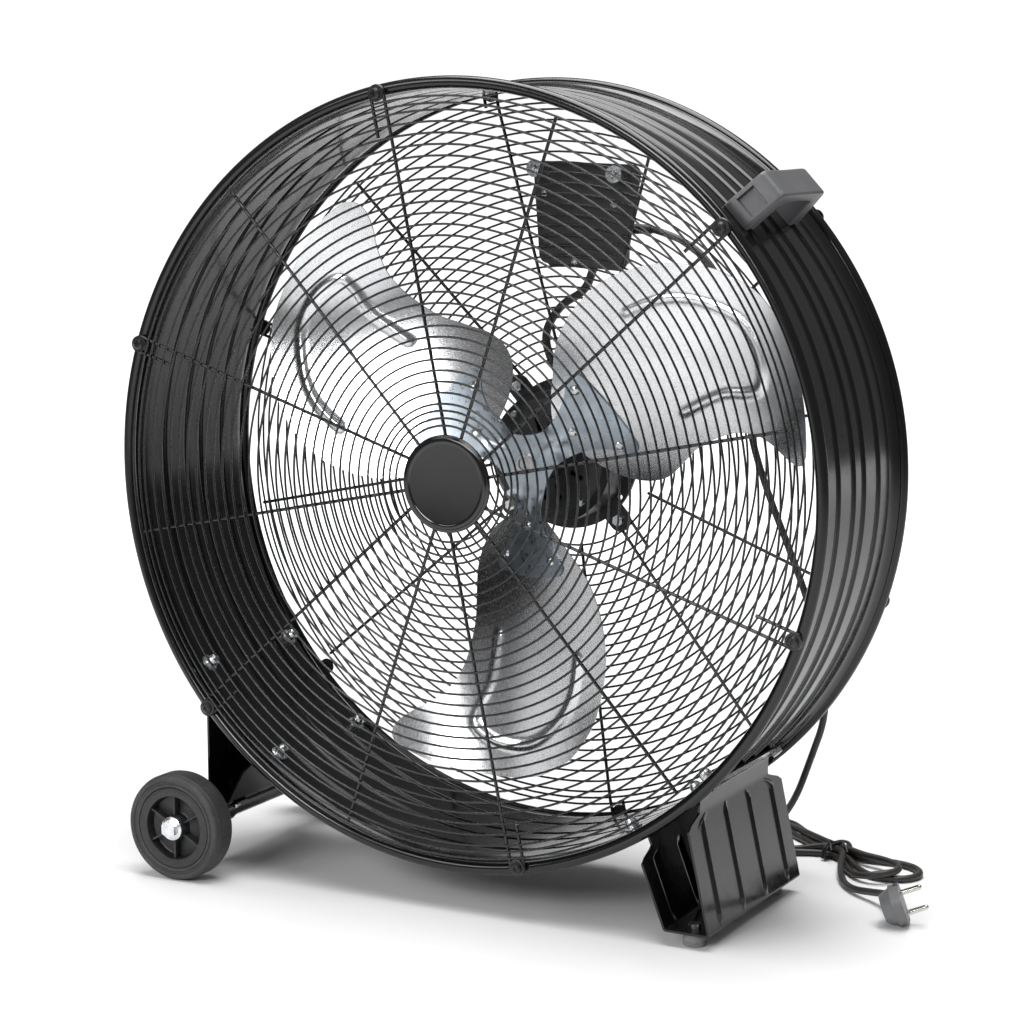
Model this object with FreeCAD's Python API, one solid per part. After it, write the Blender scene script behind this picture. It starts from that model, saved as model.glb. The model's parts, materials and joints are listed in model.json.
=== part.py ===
"""Wheeled drum fan: rolled steel drum on one channel leg and one wheeled bracket.

Every length is in millimetres.  Each function models in the drum frame, whose
origin is the middle of the drum with Y along the fan's axis (front is -Y, as
seen by someone standing in the air stream) and Z up.  save() then moves each
piece to the row frame, whose origin is on the floor below the middle of the box.
"""
import FreeCAD
import Part
import math
import os

V = FreeCAD.Vector
os.makedirs("parts", exist_ok=True)

# ---- overall layout -------------------------------------------------------
FLOOR_Z = -385.0
FRONT_Y = -147.0
REAR_Y = 187.0
SHIFT = V(0.0, -(FRONT_Y + REAR_Y) / 2.0, -FLOOR_Z)
GAP = 0.3
FIT = 0.05

# ---- drum shell -----------------------------------------------------------
DRUM_R = 340.0
SHEET = 1.2
RIM_R = 344.5
RIM_Y = 94.3
RIM_WIRE = 5.5
FLARE_Y = 72.0
FLARE_BEND = 30.0
FLARE_TURN = 33.0
DRUM_BEADS = (-47.0, -12.0, 12.0, 47.0)
BEAD_HALF = 4.0
BEAD_RISE = 2.2
SEAT_R = DRUM_R + BEAD_RISE + GAP

# ---- grilles --------------------------------------------------------------
RING_WIRE = 1.0
SPOKE_WIRE = 1.5
WELD = 0.2
SPOKE_Y = 101.6
RING_Y = SPOKE_Y + SPOKE_WIRE + RING_WIRE - WELD
RING_SPLIT = 200.0     # rings inside this radius are one node, the others a second
RING_FIRST = 70.0
RING_PITCH = 9.67
RING_COUNT = 27
RING_INNER = (51.0, 57.5, 64.0)
RING_OUTER = (327.2, 333.2)
SCREW_R = 342.0
SCREW_ANGLE = 41.5
SCREW_COUNT = 6
LOOP_R = 6.5
LOOP_LEG = 38.0
FRONT_SPOKE_START = 12.0
REAR_SPOKE_START = 87.0
CONE_START = 328.0
CONE_END = 81.0
CONE_RISE = 35.0

# ---- fasteners on the rims ------------------------------------------------
RIM_WASHER_R = 7.5
RIM_WASHER_T = 1.2
RIM_SCREW_R = 2.1
RIM_HOLE_R = 2.15
RIM_HEAD_R = 5.0

# ---- hub cap --------------------------------------------------------------
CAP_R = 43.0
CAP_WALL = 1.8
CAP_BACK = -103.3
CAP_FACE = -107.2
CAP_BOSS_R = 7.0
CAP_SCREW_R = 1.9

# ---- motor ----------------------------------------------------------------
STATOR_R = 62.0
STATOR_BORE = 35.2
BELL_FRONT = 88.0
STATOR_FRONT = 106.0
PLATE_FRONT = 130.0
PLATE_T = 3.0
BELL_REAR_R = 60.0
BELL_REAR = 160.0
BELL_WALL = 2.5
SHAFT_R = 6.0
SHAFT_FRONT = 41.0
SHAFT_REAR = 154.0
ROTOR_R = 34.7
BEARING_R = 13.0
BEARING_T = 9.0
TIE_R = 52.5
TIE_SCREW_R = 2.0
MOUNT_R = 81.0
MOUNT_ANGLES = (-48.5, 41.5, 131.5, 221.5)
MOUNT_BOLT_R = 3.0
MOUNT_WASHER_T = 1.5
MOUNT_EAR_R = 11.0
MOUNT_DISC_R = 72.0

# ---- fan ------------------------------------------------------------------
BLADE_ANGLES = (153.0, 33.0, -87.0)
BLADE_T = 1.5
SPIDER_T = 2.0
SPIDER_Y = 43.5
SPIDER_FLAT_R = 24.0
SPIDER_DISC_R = 27.5
SPIDER_LIP = 0.15
SPIDER_FORMED_R = 46.0
HUB_R = 9.7
HUB_FRONT = 40.0
HUB_REAR = 66.0
RIVET_R = 2.4
RIVET_HEAD_R = 5.0
RIVETS = ((57.6, 1.0), (85.5, -31.0), (87.8, 29.5))

# ---- switch unit ----------------------------------------------------------
PANEL_Y = 126.8
PANEL_T = 2.0
BOX_X = (-22.0, 46.0)
BOX_Z = (176.0, 258.0)
BOX_DEPTH = 40.0
BOX_WALL = 2.5
KNOB_X = 12.0
KNOB_Z = 217.0
KNOB_R = 17.0
KNOB_SHAFT_R = 3.0
BUSH_R = 5.0
PANEL_SCREW_R = 2.0

# ---- legs, bracket and wheels ---------------------------------------------
LEG_T = 2.0
LEG_HALF = 102.0
BRACKET_HALF = 85.0
TAB_HALF = 75.0
FLANGE_ARC = 3.7
FLANGE_LAP = 0.9
BOLT_Y = 68.0
BOLT_R = 3.0
FOOT_R = 10.0
FOOT_H = 13.0
FOOT_X = 230.5
FOOT_Y = 85.0
AXLE_R = 11.0
AXLE_HALF = 110.0
WHEEL_X = -273.0
WHEEL_Z = -335.0
WHEEL_R = 50.0
HUB_RIBS = 6
WHEEL_IN = 112.0
WHEEL_OUT = 140.0
TYRE_R = 38.0
WHEEL_BOLT_R = 5.0

# ---- handle ---------------------------------------------------------------
HANDLE_ANGLE = 43.2
HANDLE_W = 28.5
HANDLE_TOP = 382.0
HANDLE_BAR = 11.0

# ---- cords ----------------------------------------------------------------
CORD_R = 3.25
LEAD_R = 4.0
EARTH_R = 1.3
HANK_Z = FLOOR_Z + GAP


def save(name, shape):
    moved = shape.copy()
    moved.translate(SHIFT)
    moved.exportStep("parts/" + name + ".step")


def fuse(shapes):
    body = shapes[0]
    for other in shapes[1:]:
        body = body.fuse(other)
    return body.removeSplitter()


def rod(x, z, radius, y0, y1):
    return Part.makeCylinder(radius, y1 - y0, V(x, y0, z), V(0, 1, 0))


def tube(x, z, outer, inner, y0, y1):
    return rod(x, z, outer, y0, y1).cut(rod(x, z, inner, y0 - 1, y1 + 1))


def at(radius, angle):
    """x and z of a point given by radius and angle on the fan's face."""
    turn = math.radians(angle)
    return radius * math.cos(turn), radius * math.sin(turn)


def out(angle):
    """Unit vector pointing away from the axis at an angle."""
    x, z = at(1.0, angle)
    return V(x, 0, z)


def turned(shape, angle):
    """Copy turned about the fan's axis; a positive angle goes from +X towards +Z."""
    copy = shape.copy()
    copy.rotate(V(0, 0, 0), V(0, -1, 0), angle)
    return copy


def ring_of(shape, start, count):
    return [turned(shape, start + 360.0 / count * k) for k in range(count)]


def spin(points, about_x=0.0, about_z=0.0):
    """Solid of revolution about a Y line from (radius, y) corners."""
    wire = Part.makePolygon([V(r, y, 0) for r, y in points + points[:1]])
    solid = Part.Face(wire).revolve(V(0, 0, 0), V(0, 1, 0), 360)
    solid.translate(V(about_x, 0, about_z))
    return solid


def slab(corners, y0, y1):
    """Prism along Y from (x, z) corners."""
    wire = Part.makePolygon([V(x, y0, z) for x, z in corners + corners[:1]])
    return Part.Face(wire).extrude(V(0, y1 - y0, 0))


def hex_rod(x, z, across, y0, y1):
    corners = [at(across / math.sqrt(3.0), 60 * k + 30) for k in range(6)]
    return slab([(x + a, z + b) for a, b in corners], y0, y1)


def bend_radius(before, corner, after):
    first = corner.sub(before)
    second = after.sub(corner)
    turn = first.getAngle(second)
    return 0.45 * min(first.Length, second.Length) / math.tan(turn / 2.0), turn


def rounded_wire(points):
    """Straight runs joined by tangent arcs; returns the wire and the arc radii."""
    edges = []
    radii = []
    last = points[0]
    for i in range(1, len(points) - 1):
        corner = points[i]
        radius, turn = bend_radius(points[i - 1], corner, points[i + 1])
        back = radius * math.tan(turn / 2.0)
        to_prev = points[i - 1].sub(corner).normalize()
        to_next = points[i + 1].sub(corner).normalize()
        start = corner.add(V(to_prev).multiply(back))
        end = corner.add(V(to_next).multiply(back))
        half = to_prev.add(to_next).normalize()
        reach = math.hypot(radius, back)
        middle = corner.add(V(half).multiply(reach - radius))
        edges.append(Part.LineSegment(last, start).toShape())
        edges.append(Part.Arc(start, middle, end).toShape())
        radii.append(radius)
        last = end
    edges.append(Part.LineSegment(last, points[-1]).toShape())
    return Part.Wire(edges), radii


def cord(points, radius):
    """Round cord swept along rounded runs."""
    wire, radii = rounded_wire(points)
    way = points[1].sub(points[0])
    ring = Part.Wire(Part.makeCircle(radius, points[0], way))
    return wire.makePipeShell([ring], True, False), wire.Length, radii


def report_cord(name, solid, length, radii, radius):
    ratio = solid.Volume / (math.pi * radius * radius * length)
    rounded = [round(value, 1) for value in radii]
    print(name, "length", round(length, 1), "volume ratio", round(ratio, 4), "radii", rounded)


# ---- drum -----------------------------------------------------------------
def sheet_edge(offset):
    """One face of the drum sheet as edges, from the front flare to the rear flare."""
    radius = DRUM_R - offset
    turn = math.radians(FLARE_TURN)
    bend = FLARE_BEND + offset
    edges = []

    def flare_point(angle, side):
        return V(radius + bend * (1 - math.cos(angle)), side * (FLARE_Y + bend * math.sin(angle)), 0)

    front = [flare_point(turn, -1), flare_point(turn / 2, -1), flare_point(0, -1)]
    edges.append(Part.Arc(*front).toShape())
    last = front[2]
    for y in DRUM_BEADS:
        start = V(radius, y - BEAD_HALF, 0)
        end = V(radius, y + BEAD_HALF, 0)
        edges.append(Part.LineSegment(last, start).toShape())
        edges.append(Part.Arc(start, V(radius + BEAD_RISE, y, 0), end).toShape())
        last = end
    rear = [flare_point(0, 1), flare_point(turn / 2, 1), flare_point(turn, 1)]
    edges.append(Part.LineSegment(last, rear[0]).toShape())
    edges.append(Part.Arc(*rear).toShape())
    return edges, front[0], rear[2]


def drum_shell():
    outer, outer_front, outer_rear = sheet_edge(0.0)
    inner, inner_front, inner_rear = sheet_edge(SHEET)
    pairs = ((outer_front, inner_front), (outer_rear, inner_rear))
    ends = [Part.LineSegment(a, b).toShape() for a, b in pairs]
    wire = Part.Wire(Part.__sortEdges__(outer + inner + ends))
    shell = Part.Face(wire).revolve(V(0, 0, 0), V(0, 1, 0), 360)
    for side in (-1, 1):
        shell = shell.fuse(Part.makeTorus(RIM_R, RIM_WIRE, V(0, side * RIM_Y, 0), V(0, 1, 0)))
    cutters = []
    for k in range(SCREW_COUNT):
        x, z = at(SCREW_R, SCREW_ANGLE + 60 * k)
        cutters.append(rod(x, z, RIM_HOLE_R, -RIM_Y - RIM_WIRE - 1, -91.5))
        cutters.append(rod(x, z, RIM_HOLE_R, 91.5, RIM_Y + RIM_WIRE + 1))
    for angle in LEG_BOLT_ANGLES + (HANDLE_ANGLE,):
        for y in bolt_rows(angle):
            start = out(angle).multiply(DRUM_R - 15).add(V(0, y, 0))
            cutters.append(Part.makeCylinder(BOLT_R + 0.2, 30, start, out(angle)))
    return shell.cut(Part.makeCompound(cutters))


LEG_BOLT_ANGLES = (-45.9, -60.8, -145.2, -126.5)
HANDLE_BOLT_Y = 47.0


def bolt_rows(angle):
    if angle == HANDLE_ANGLE:
        return (-HANDLE_BOLT_Y, HANDLE_BOLT_Y)
    return (-BOLT_Y, BOLT_Y)


# ---- grilles --------------------------------------------------------------
def cone_y(radius):
    """Height of the rear spokes behind the drum's middle at a radius."""
    if radius >= CONE_START:
        return SPOKE_Y
    return SPOKE_Y + CONE_RISE * (CONE_START - radius) / (CONE_START - CONE_END)


def ring_radii():
    return [RING_FIRST + RING_PITCH * k for k in range(RING_COUNT)] + list(RING_OUTER)


def front_rings(radii):
    return Part.makeCompound([Part.makeTorus(r, RING_WIRE, V(0, -RING_Y, 0), V(0, 1, 0)) for r in radii])


def rear_rings(radii):
    rings = []
    for radius in radii:
        y = cone_y(radius) + RING_Y - SPOKE_Y
        rings.append(Part.makeTorus(radius, RING_WIRE, V(0, y, 0), V(0, 1, 0)))
    return Part.makeCompound(rings)


def save_rings():
    front = list(RING_INNER) + ring_radii()
    rear = ring_radii()[2:]
    save("front_grille_inner_rings", front_rings([r for r in front if r < RING_SPLIT]))
    save("front_grille_outer_rings", front_rings([r for r in front if r > RING_SPLIT]))
    save("rear_grille_inner_rings", rear_rings([r for r in rear if r < RING_SPLIT]))
    save("rear_grille_outer_rings", rear_rings([r for r in rear if r > RING_SPLIT]))


def sweep(edges, radius):
    path = Part.Wire(edges)
    first = edges[0]
    way = first.tangentAt(first.FirstParameter)
    ring = Part.Wire(Part.makeCircle(radius, first.valueAt(first.FirstParameter), way))
    return path.makePipeShell([ring], True, False)


def spoke_point(u, side, height):
    """Point on a spoke laid along +X: u outward, side across it, height along Y."""
    return V(u, height, side)


def hairpin_edges(u_stop, side, height, leg_end):
    """Half loop round a screw at u_stop, then a short leg back to leg_end."""
    reach = 1 if leg_end < u_stop else -1
    a = spoke_point(u_stop, -side, height)
    b = spoke_point(u_stop + reach * LOOP_R, 0, height)
    c = spoke_point(u_stop, side, height)
    d = spoke_point(leg_end, side, height if reach > 0 else cone_y(leg_end))
    return [Part.Arc(a, b, c).toShape(), Part.LineSegment(c, d).toShape()]


def front_spokes():
    y = -SPOKE_Y
    side = LOOP_R
    run = Part.LineSegment(spoke_point(FRONT_SPOKE_START, -side, y), spoke_point(SCREW_R, -side, y)).toShape()
    screwed = sweep([run] + hairpin_edges(SCREW_R, side, y, SCREW_R - LOOP_LEG), SPOKE_WIRE)
    plain = Part.makeCylinder(SPOKE_WIRE, 333.4 - FRONT_SPOKE_START, V(FRONT_SPOKE_START, y, 0), V(1, 0, 0))
    solids = ring_of(screwed, SCREW_ANGLE, SCREW_COUNT) + ring_of(plain, SCREW_ANGLE + 30, SCREW_COUNT)
    return Part.makeCompound(solids)


def rear_spoke(screwed, looped):
    """One rear spoke along +X; screwed loops the rim screw, looped the motor bolt."""
    side = LOOP_R if (screwed or looped) else 0.0
    edges = []
    inner = MOUNT_R if looped else REAR_SPOKE_START
    top = spoke_point(inner, -side, cone_y(inner))
    knee = spoke_point(CONE_START, -side, SPOKE_Y)
    if looped:
        far = spoke_point(MOUNT_R + LOOP_LEG, side, cone_y(MOUNT_R + LOOP_LEG))
        side_end = spoke_point(MOUNT_R, side, cone_y(MOUNT_R))
        nose = spoke_point(MOUNT_R - LOOP_R, 0, cone_y(MOUNT_R - LOOP_R))
        edges.append(Part.LineSegment(far, side_end).toShape())
        edges.append(Part.Arc(side_end, nose, top).toShape())
    edges.append(Part.LineSegment(top, knee).toShape())
    if not screwed:
        edges.append(Part.LineSegment(knee, spoke_point(333.4, -side, SPOKE_Y)).toShape())
        return mitred(edges)
    edges.append(Part.LineSegment(knee, spoke_point(SCREW_R, -side, SPOKE_Y)).toShape())
    edges += hairpin_edges(SCREW_R, side, SPOKE_Y, SCREW_R - 12)
    return mitred(edges)


def mitred(edges):
    """Sweep tangent groups of edges separately and join them with balls at the kinks."""
    groups = [[edges[0]]]
    for edge in edges[1:]:
        before = groups[-1][-1]
        if before.tangentAt(before.LastParameter).getAngle(edge.tangentAt(edge.FirstParameter)) > 0.02:
            groups.append([edge])
        else:
            groups[-1].append(edge)
    solids = [sweep(group, SPOKE_WIRE) for group in groups]
    for group in groups[1:]:
        solids.append(Part.makeSphere(SPOKE_WIRE, group[0].valueAt(group[0].FirstParameter)))
    return fuse(solids)


def rear_spokes():
    solids = []
    for k in range(2 * SCREW_COUNT):
        angle = SCREW_ANGLE + 30 * k
        looped = any(abs((angle - mount) % 360) < 1 for mount in MOUNT_ANGLES)
        solids.append(turned(rear_spoke(k % 2 == 0, looped), angle))
    return Part.makeCompound(solids)


def rim_washers():
    y = SPOKE_Y + SPOKE_WIRE + WELD
    washers = []
    for side in (-1, 1):
        ends = sorted((side * y, side * (y + RIM_WASHER_T)))
        washer = tube(SCREW_R, 0.0, RIM_WASHER_R, RIM_SCREW_R + 0.3, ends[0], ends[1])
        washers += ring_of(washer, SCREW_ANGLE, SCREW_COUNT)
    return Part.makeCompound(washers)


def rim_screw(side):
    """Pan head screw with a crossed recess; side -1 is on the front rim, 1 on the rear."""
    seat = SPOKE_Y + SPOKE_WIRE + WELD + RIM_WASHER_T
    profile = [(0, seat), (RIM_HEAD_R, seat), (RIM_HEAD_R, seat + 1.4), (3.4, seat + 2.8), (0, seat + 3.0)]
    head = spin([(r, side * y) for r, y in profile])
    for angle in (0, 90):
        slot = Part.makeBox(5.0, 2.0, 1.0, V(-2.5, min(side * (seat + 1.6), side * (seat + 3.6)), -0.5))
        slot.rotate(V(0, 0, 0), V(0, 1, 0), angle)
        head = head.cut(slot)
    ends = sorted((side * 92.0, side * (seat + 0.1)))
    screw = head.fuse(rod(0, 0, RIM_SCREW_R, ends[0], ends[1]))
    screw.translate(V(SCREW_R, 0, 0))
    return screw


def rim_screws():
    screws = []
    for side in (-1, 1):
        screws += ring_of(rim_screw(side), SCREW_ANGLE, SCREW_COUNT)
    return Part.makeCompound(screws)


# ---- hub cap --------------------------------------------------------------
def hub_cap():
    profile = [
        (CAP_SCREW_R + FIT, -100.0), (CAP_BOSS_R, -100.0), (CAP_BOSS_R, CAP_FACE + CAP_WALL + 0.4),
        (37.0, CAP_FACE + CAP_WALL + 0.4), (38.0, CAP_FACE + CAP_WALL + 1.0), (CAP_R - CAP_WALL, CAP_BACK),
        (CAP_R - 0.3, CAP_BACK), (CAP_R, CAP_BACK - 0.6), (CAP_R - 0.2, -105.1), (CAP_R - 1.4, -105.7),
        (40.6, -105.7), (40.2, -106.6), (39.2, CAP_FACE), (36.5, CAP_FACE), (36.0, CAP_FACE + 0.5),
        (0.0, CAP_FACE + 0.5), (0.0, -105.4), (CAP_SCREW_R + FIT, -105.4)]
    return spin(profile)


def cap_retainer():
    return tube(0, 0, 38.0, CAP_SCREW_R + 0.2, -99.9, -98.4)


def cap_screw():
    head = spin([(0, -98.4), (4.0, -98.4), (4.0, -97.2), (2.6, -96.0), (0, -96.0)])
    return head.fuse(rod(0, 0, CAP_SCREW_R, -105.2, -98.3))


# ---- motor ----------------------------------------------------------------
def motor_front_bell():
    bell = spin([
        (BEARING_R + 4, BELL_FRONT - 2), (BEARING_R + 6, BELL_FRONT), (56, BELL_FRONT),
        (STATOR_R, BELL_FRONT + 6), (STATOR_R, STATOR_FRONT), (STATOR_R - BELL_WALL, STATOR_FRONT),
        (STATOR_R - BELL_WALL, BELL_FRONT + 7), (55, BELL_FRONT + BELL_WALL),
        (BEARING_R + 3, BELL_FRONT + BELL_WALL), (BEARING_R + 3, BELL_FRONT + 11),
        (BEARING_R + 0.02, BELL_FRONT + 11), (BEARING_R + 0.02, BELL_FRONT), (SHAFT_R + 1, BELL_FRONT),
        (SHAFT_R + 1, BELL_FRONT - 2)])
    cutters = []
    slot = Part.makeBox(14, 10, 4, V(26, BELL_FRONT - 3, -2))
    for k in range(16):
        if k % 4:
            cutters.append(turned(slot, 41.5 + 22.5 * k))
    for angle in MOUNT_ANGLES:
        x, z = at(TIE_R, angle)
        cutters.append(rod(x, z, TIE_SCREW_R + 0.2, BELL_FRONT - 3, BELL_FRONT + 30))
    return bell.cut(Part.makeCompound(cutters))


def motor_stator():
    stack = tube(0, 0, STATOR_R, STATOR_BORE, STATOR_FRONT + 0.05, PLATE_FRONT - 0.05)
    slots = []
    for k in range(24):
        x, z = at(STATOR_BORE + 4.0, 15 * k)
        slots.append(rod(x, z, 2.2, STATOR_FRONT, PLATE_FRONT))
    for angle in MOUNT_ANGLES:
        x, z = at(TIE_R, angle)
        slots.append(rod(x, z, TIE_SCREW_R + 0.3, STATOR_FRONT, PLATE_FRONT))
    return stack.cut(Part.makeCompound(slots))


def motor_windings():
    front = spin([(37.0, 97.0), (48.0, 97.0), (48.0, 105.0), (37.0, 105.0)])
    rear = spin([(37.0, 130.5), (48.0, 130.5), (48.0, 142.0), (37.0, 142.0)])
    bars = []
    for k in range(24):
        x, z = at(STATOR_BORE + 4.0, 15 * k)
        bars.append(rod(x, z, 2.0, 104.0, 131.0))
    return fuse([front, rear] + bars)


def motor_rear_bell():
    bell = spin([
        (BELL_REAR_R, PLATE_FRONT + PLATE_T), (BELL_REAR_R, 154.0), (54.0, BELL_REAR),
        (BEARING_R + 5, BELL_REAR),
        (BEARING_R + 4, BELL_REAR + 2), (0.0, BELL_REAR + 2), (0.0, 155.1), (BEARING_R + 0.02, 155.1),
        (BEARING_R + 0.02, 145.0), (BEARING_R + 3, 145.0), (BEARING_R + 3, BELL_REAR - BELL_WALL),
        (53.0, BELL_REAR - BELL_WALL), (BELL_REAR_R - BELL_WALL, 153.0),
        (BELL_REAR_R - BELL_WALL, PLATE_FRONT + PLATE_T)])
    lugs = []
    holes = []
    for angle in MOUNT_ANGLES:
        x, z = at(TIE_R + 1.0, angle)
        lugs.append(rod(x, z, 5.0, PLATE_FRONT + PLATE_T, 146.0))
        x, z = at(TIE_R, angle)
        holes.append(rod(x, z, TIE_SCREW_R + FIT, PLATE_FRONT, 144.5))
    vent = Part.makeBox(3.0, 10, 14, V(34, BELL_REAR - 4, -7))
    for k in range(12):
        holes.append(turned(vent, 15 + 30 * k))
    return fuse([bell] + lugs).cut(Part.makeCompound(holes))


def motor_mount_plate():
    y0 = PLATE_FRONT
    y1 = PLATE_FRONT + PLATE_T
    plate = rod(0, 0, MOUNT_DISC_R, y0, y1)
    holes = [rod(0, 0, 50.0, y0 - 1, y1 + 1)]
    for angle in MOUNT_ANGLES:
        x, z = at(MOUNT_R, angle)
        plate = plate.fuse(rod(x, z, MOUNT_EAR_R, y0, y1))
        web = Part.makeBox(30, PLATE_T, 2 * MOUNT_EAR_R, V(MOUNT_R - 30, y0, -MOUNT_EAR_R))
        plate = plate.fuse(turned(web, angle))
        holes.append(rod(x, z, MOUNT_BOLT_R + 0.2, y0 - 1, y1 + 1))
        x, z = at(TIE_R, angle)
        holes.append(rod(x, z, TIE_SCREW_R + 0.2, y0 - 1, y1 + 1))
    x, z = at(66.5, -35.5)
    holes.append(rod(x, z, 2.5, y0 - 1, y1 + 1))
    return plate.cut(Part.makeCompound(holes))


def motor_tie_screws():
    head = spin([(0, 84.8), (2.4, 84.8), (3.5, 86.2), (3.5, BELL_FRONT), (0, BELL_FRONT)])
    slot = Part.makeBox(4.4, 1.2, 0.9, V(-2.2, 84.0, -0.45))
    screw = head.cut(slot).fuse(rod(0, 0, TIE_SCREW_R, BELL_FRONT - 0.1, 144.0))
    screws = []
    for angle in MOUNT_ANGLES:
        copy = screw.copy()
        x, z = at(TIE_R, angle)
        copy.translate(V(x, 0, z))
        screws.append(copy)
    return Part.makeCompound(screws)


def motor_mount_bolts():
    """Hex bolts from behind through washer, spoke loop and mounting plate, with a nut in front."""
    slope = CONE_RISE / (CONE_START - CONE_END)
    seat = cone_y(MOUNT_R) + SPOKE_WIRE + LOOP_R * slope + MOUNT_WASHER_T + 0.2
    parts = []
    for angle in MOUNT_ANGLES:
        x, z = at(MOUNT_R, angle)
        washer = tube(x, z, 6.9, MOUNT_BOLT_R, seat - MOUNT_WASHER_T, seat)
        head = hex_rod(x, z, 9.5, seat, seat + 4)
        nut = hex_rod(x, z, 9.5, PLATE_FRONT - 5, PLATE_FRONT)
        shank = rod(x, z, MOUNT_BOLT_R, PLATE_FRONT - 8, seat + 0.1)
        parts.append(fuse([shank, washer, head, nut]))
    return Part.makeCompound(parts)


def bearing(y0):
    outer = tube(0, 0, BEARING_R, 10.6, y0, y0 + BEARING_T)
    inner = tube(0, 0, 8.4, SHAFT_R + FIT, y0, y0 + BEARING_T)
    shield = tube(0, 0, 10.8, 8.2, y0 + 0.6, y0 + BEARING_T - 0.6)
    return fuse([outer, inner, shield])


def motor_rotor():
    body = tube(0, 0, ROTOR_R, SHAFT_R + 0.02, STATOR_FRONT + 0.2, PLATE_FRONT - 0.2)
    ends = tube(0, 0, 31.0, 20.0, STATOR_FRONT - 3, PLATE_FRONT + 3)
    return body.fuse(ends)


def motor_shaft():
    shaft = spin([
        (0, SHAFT_FRONT), (SHAFT_R - 0.7, SHAFT_FRONT), (SHAFT_R, SHAFT_FRONT + 0.7),
        (SHAFT_R, SHAFT_REAR - 0.7),
        (SHAFT_R - 0.7, SHAFT_REAR), (0, SHAFT_REAR)])
    return shaft


# ---- fan ------------------------------------------------------------------
BLADE_MID = 35.0
BLADE_PITCH = -0.298
BLADE_CURVE = -0.0003
BLADE_RAKE = -0.092
BLADE_TWIST = 0.0021
BLADE_BELLY = -0.00002
BLADE_CENTRE = 170.0
BLADE_EDGE = [
    (47, 12), (60, 32), (75, 47), (99, 70), (129, 85), (165, 92), (190, 90), (215, 83), (236, 73), (252, 61),
    (267, 47), (278, 30), (287, 12), (291, -13), (289, -45), (283, -77), (277, -98), (268, -118), (259, -133),
    (250, -138), (241, -134), (232, -121), (224, -105), (212, -90), (196, -80), (176, -74), (150, -71),
    (125, -74), (100, -76), (77, -67), (60, -48), (50, -22)]
SPIDER_EDGE = [
    (13, -22.5), (26, -17), (42, -16), (60, -21), (75, -30), (85, -40), (93, -44), (100, -40), (103.5, -22),
    (104.5, 0), (103.5, 20), (101, 36), (95, 42), (87, 39.5), (75, 29.5), (60, 21), (42, 16), (26, 17),
    (13, 22.5)]


def blade_y(u, v):
    """Front face of the blade (u out along the blade, v across it)."""
    far = u - BLADE_CENTRE
    across = BLADE_PITCH * v + BLADE_CURVE * v * v
    return BLADE_MID + across + BLADE_RAKE * far + BLADE_TWIST * far * v + BLADE_BELLY * far * v * v


def spider_y(u, v):
    """Front face of the spider: flat at the hub, on the blade's twist further out."""
    t = (u - SPIDER_FLAT_R) / (SPIDER_FORMED_R - SPIDER_FLAT_R)
    t = min(max(t, 0.0), 1.0)
    t = t * t * (3 - 2 * t)
    return SPIDER_Y * (1 - t) + (blade_y(u, v) - SPIDER_T - GAP) * t


def sheet_from(height, u_values, v_values, thickness):
    grid = [[V(u, height(u, v), v) for v in v_values] for u in u_values]
    surface = Part.BSplineSurface()
    surface.interpolate(grid)
    return surface.toShape().extrude(V(0, thickness, 0))


def steps(first, last, count):
    return [first + (last - first) * k / (count - 1.0) for k in range(count)]


def outline_prism(edges):
    return Part.Face(Part.Wire(edges)).extrude(V(0, 160, 0))


def closed_outline(points):
    curve = Part.BSplineCurve()
    curve.interpolate([V(u, -20, v) for u, v in points], PeriodicFlag=True)
    return outline_prism([curve.toShape()])


def rivet_place(u, v):
    """Point on the blade's front face and the unit normal there, pointing to the rear."""
    step = 0.5
    du = (blade_y(u + step, v) - blade_y(u - step, v)) / (2 * step)
    dv = (blade_y(u, v + step) - blade_y(u, v - step)) / (2 * step)
    return V(u, blade_y(u, v), v), V(-du, 1, -dv).normalize()


def blade():
    sheet = sheet_from(blade_y, steps(36, 302, 9), steps(-150, 104, 9), BLADE_T)
    body = sheet.common(closed_outline(BLADE_EDGE))
    cutters = []
    for u, v in RIVETS:
        point, normal = rivet_place(u, v)
        cutters.append(Part.makeCylinder(RIVET_R + 0.1, 20, point.sub(V(normal).multiply(10)), normal))
    return body.cut(Part.makeCompound(cutters))


def spider_arm():
    sheet = sheet_from(spider_y, steps(-4, 112, 30), steps(-50, 50, 9), SPIDER_T)
    curve = Part.BSplineCurve()
    curve.interpolate([V(u, -20, v) for u, v in SPIDER_EDGE])
    first = V(SPIDER_EDGE[0][0], -20, SPIDER_EDGE[0][1])
    last = V(SPIDER_EDGE[-1][0], -20, SPIDER_EDGE[-1][1])
    centre = V(17, -20, 0)
    sides = [Part.LineSegment(last, centre).toShape(), Part.LineSegment(centre, first).toShape()]
    arm = sheet.common(outline_prism([curve.toShape()] + sides))
    cutters = []
    for u, v in RIVETS:
        point, normal = rivet_place(u, v)
        cutters.append(Part.makeCylinder(RIVET_R + 0.1, 20, point.sub(V(normal).multiply(10)), normal))
    return arm.cut(Part.makeCompound(cutters))


def fan_spider():
    arm = spider_arm()
    disc = rod(0, 0, SPIDER_DISC_R, SPIDER_Y - SPIDER_LIP, SPIDER_Y + SPIDER_T + SPIDER_LIP)
    body = fuse([disc] + [turned(arm, angle) for angle in BLADE_ANGLES])
    return body.cut(rod(0, 0, 8.0, SPIDER_Y - 5, SPIDER_Y + 5))


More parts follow.
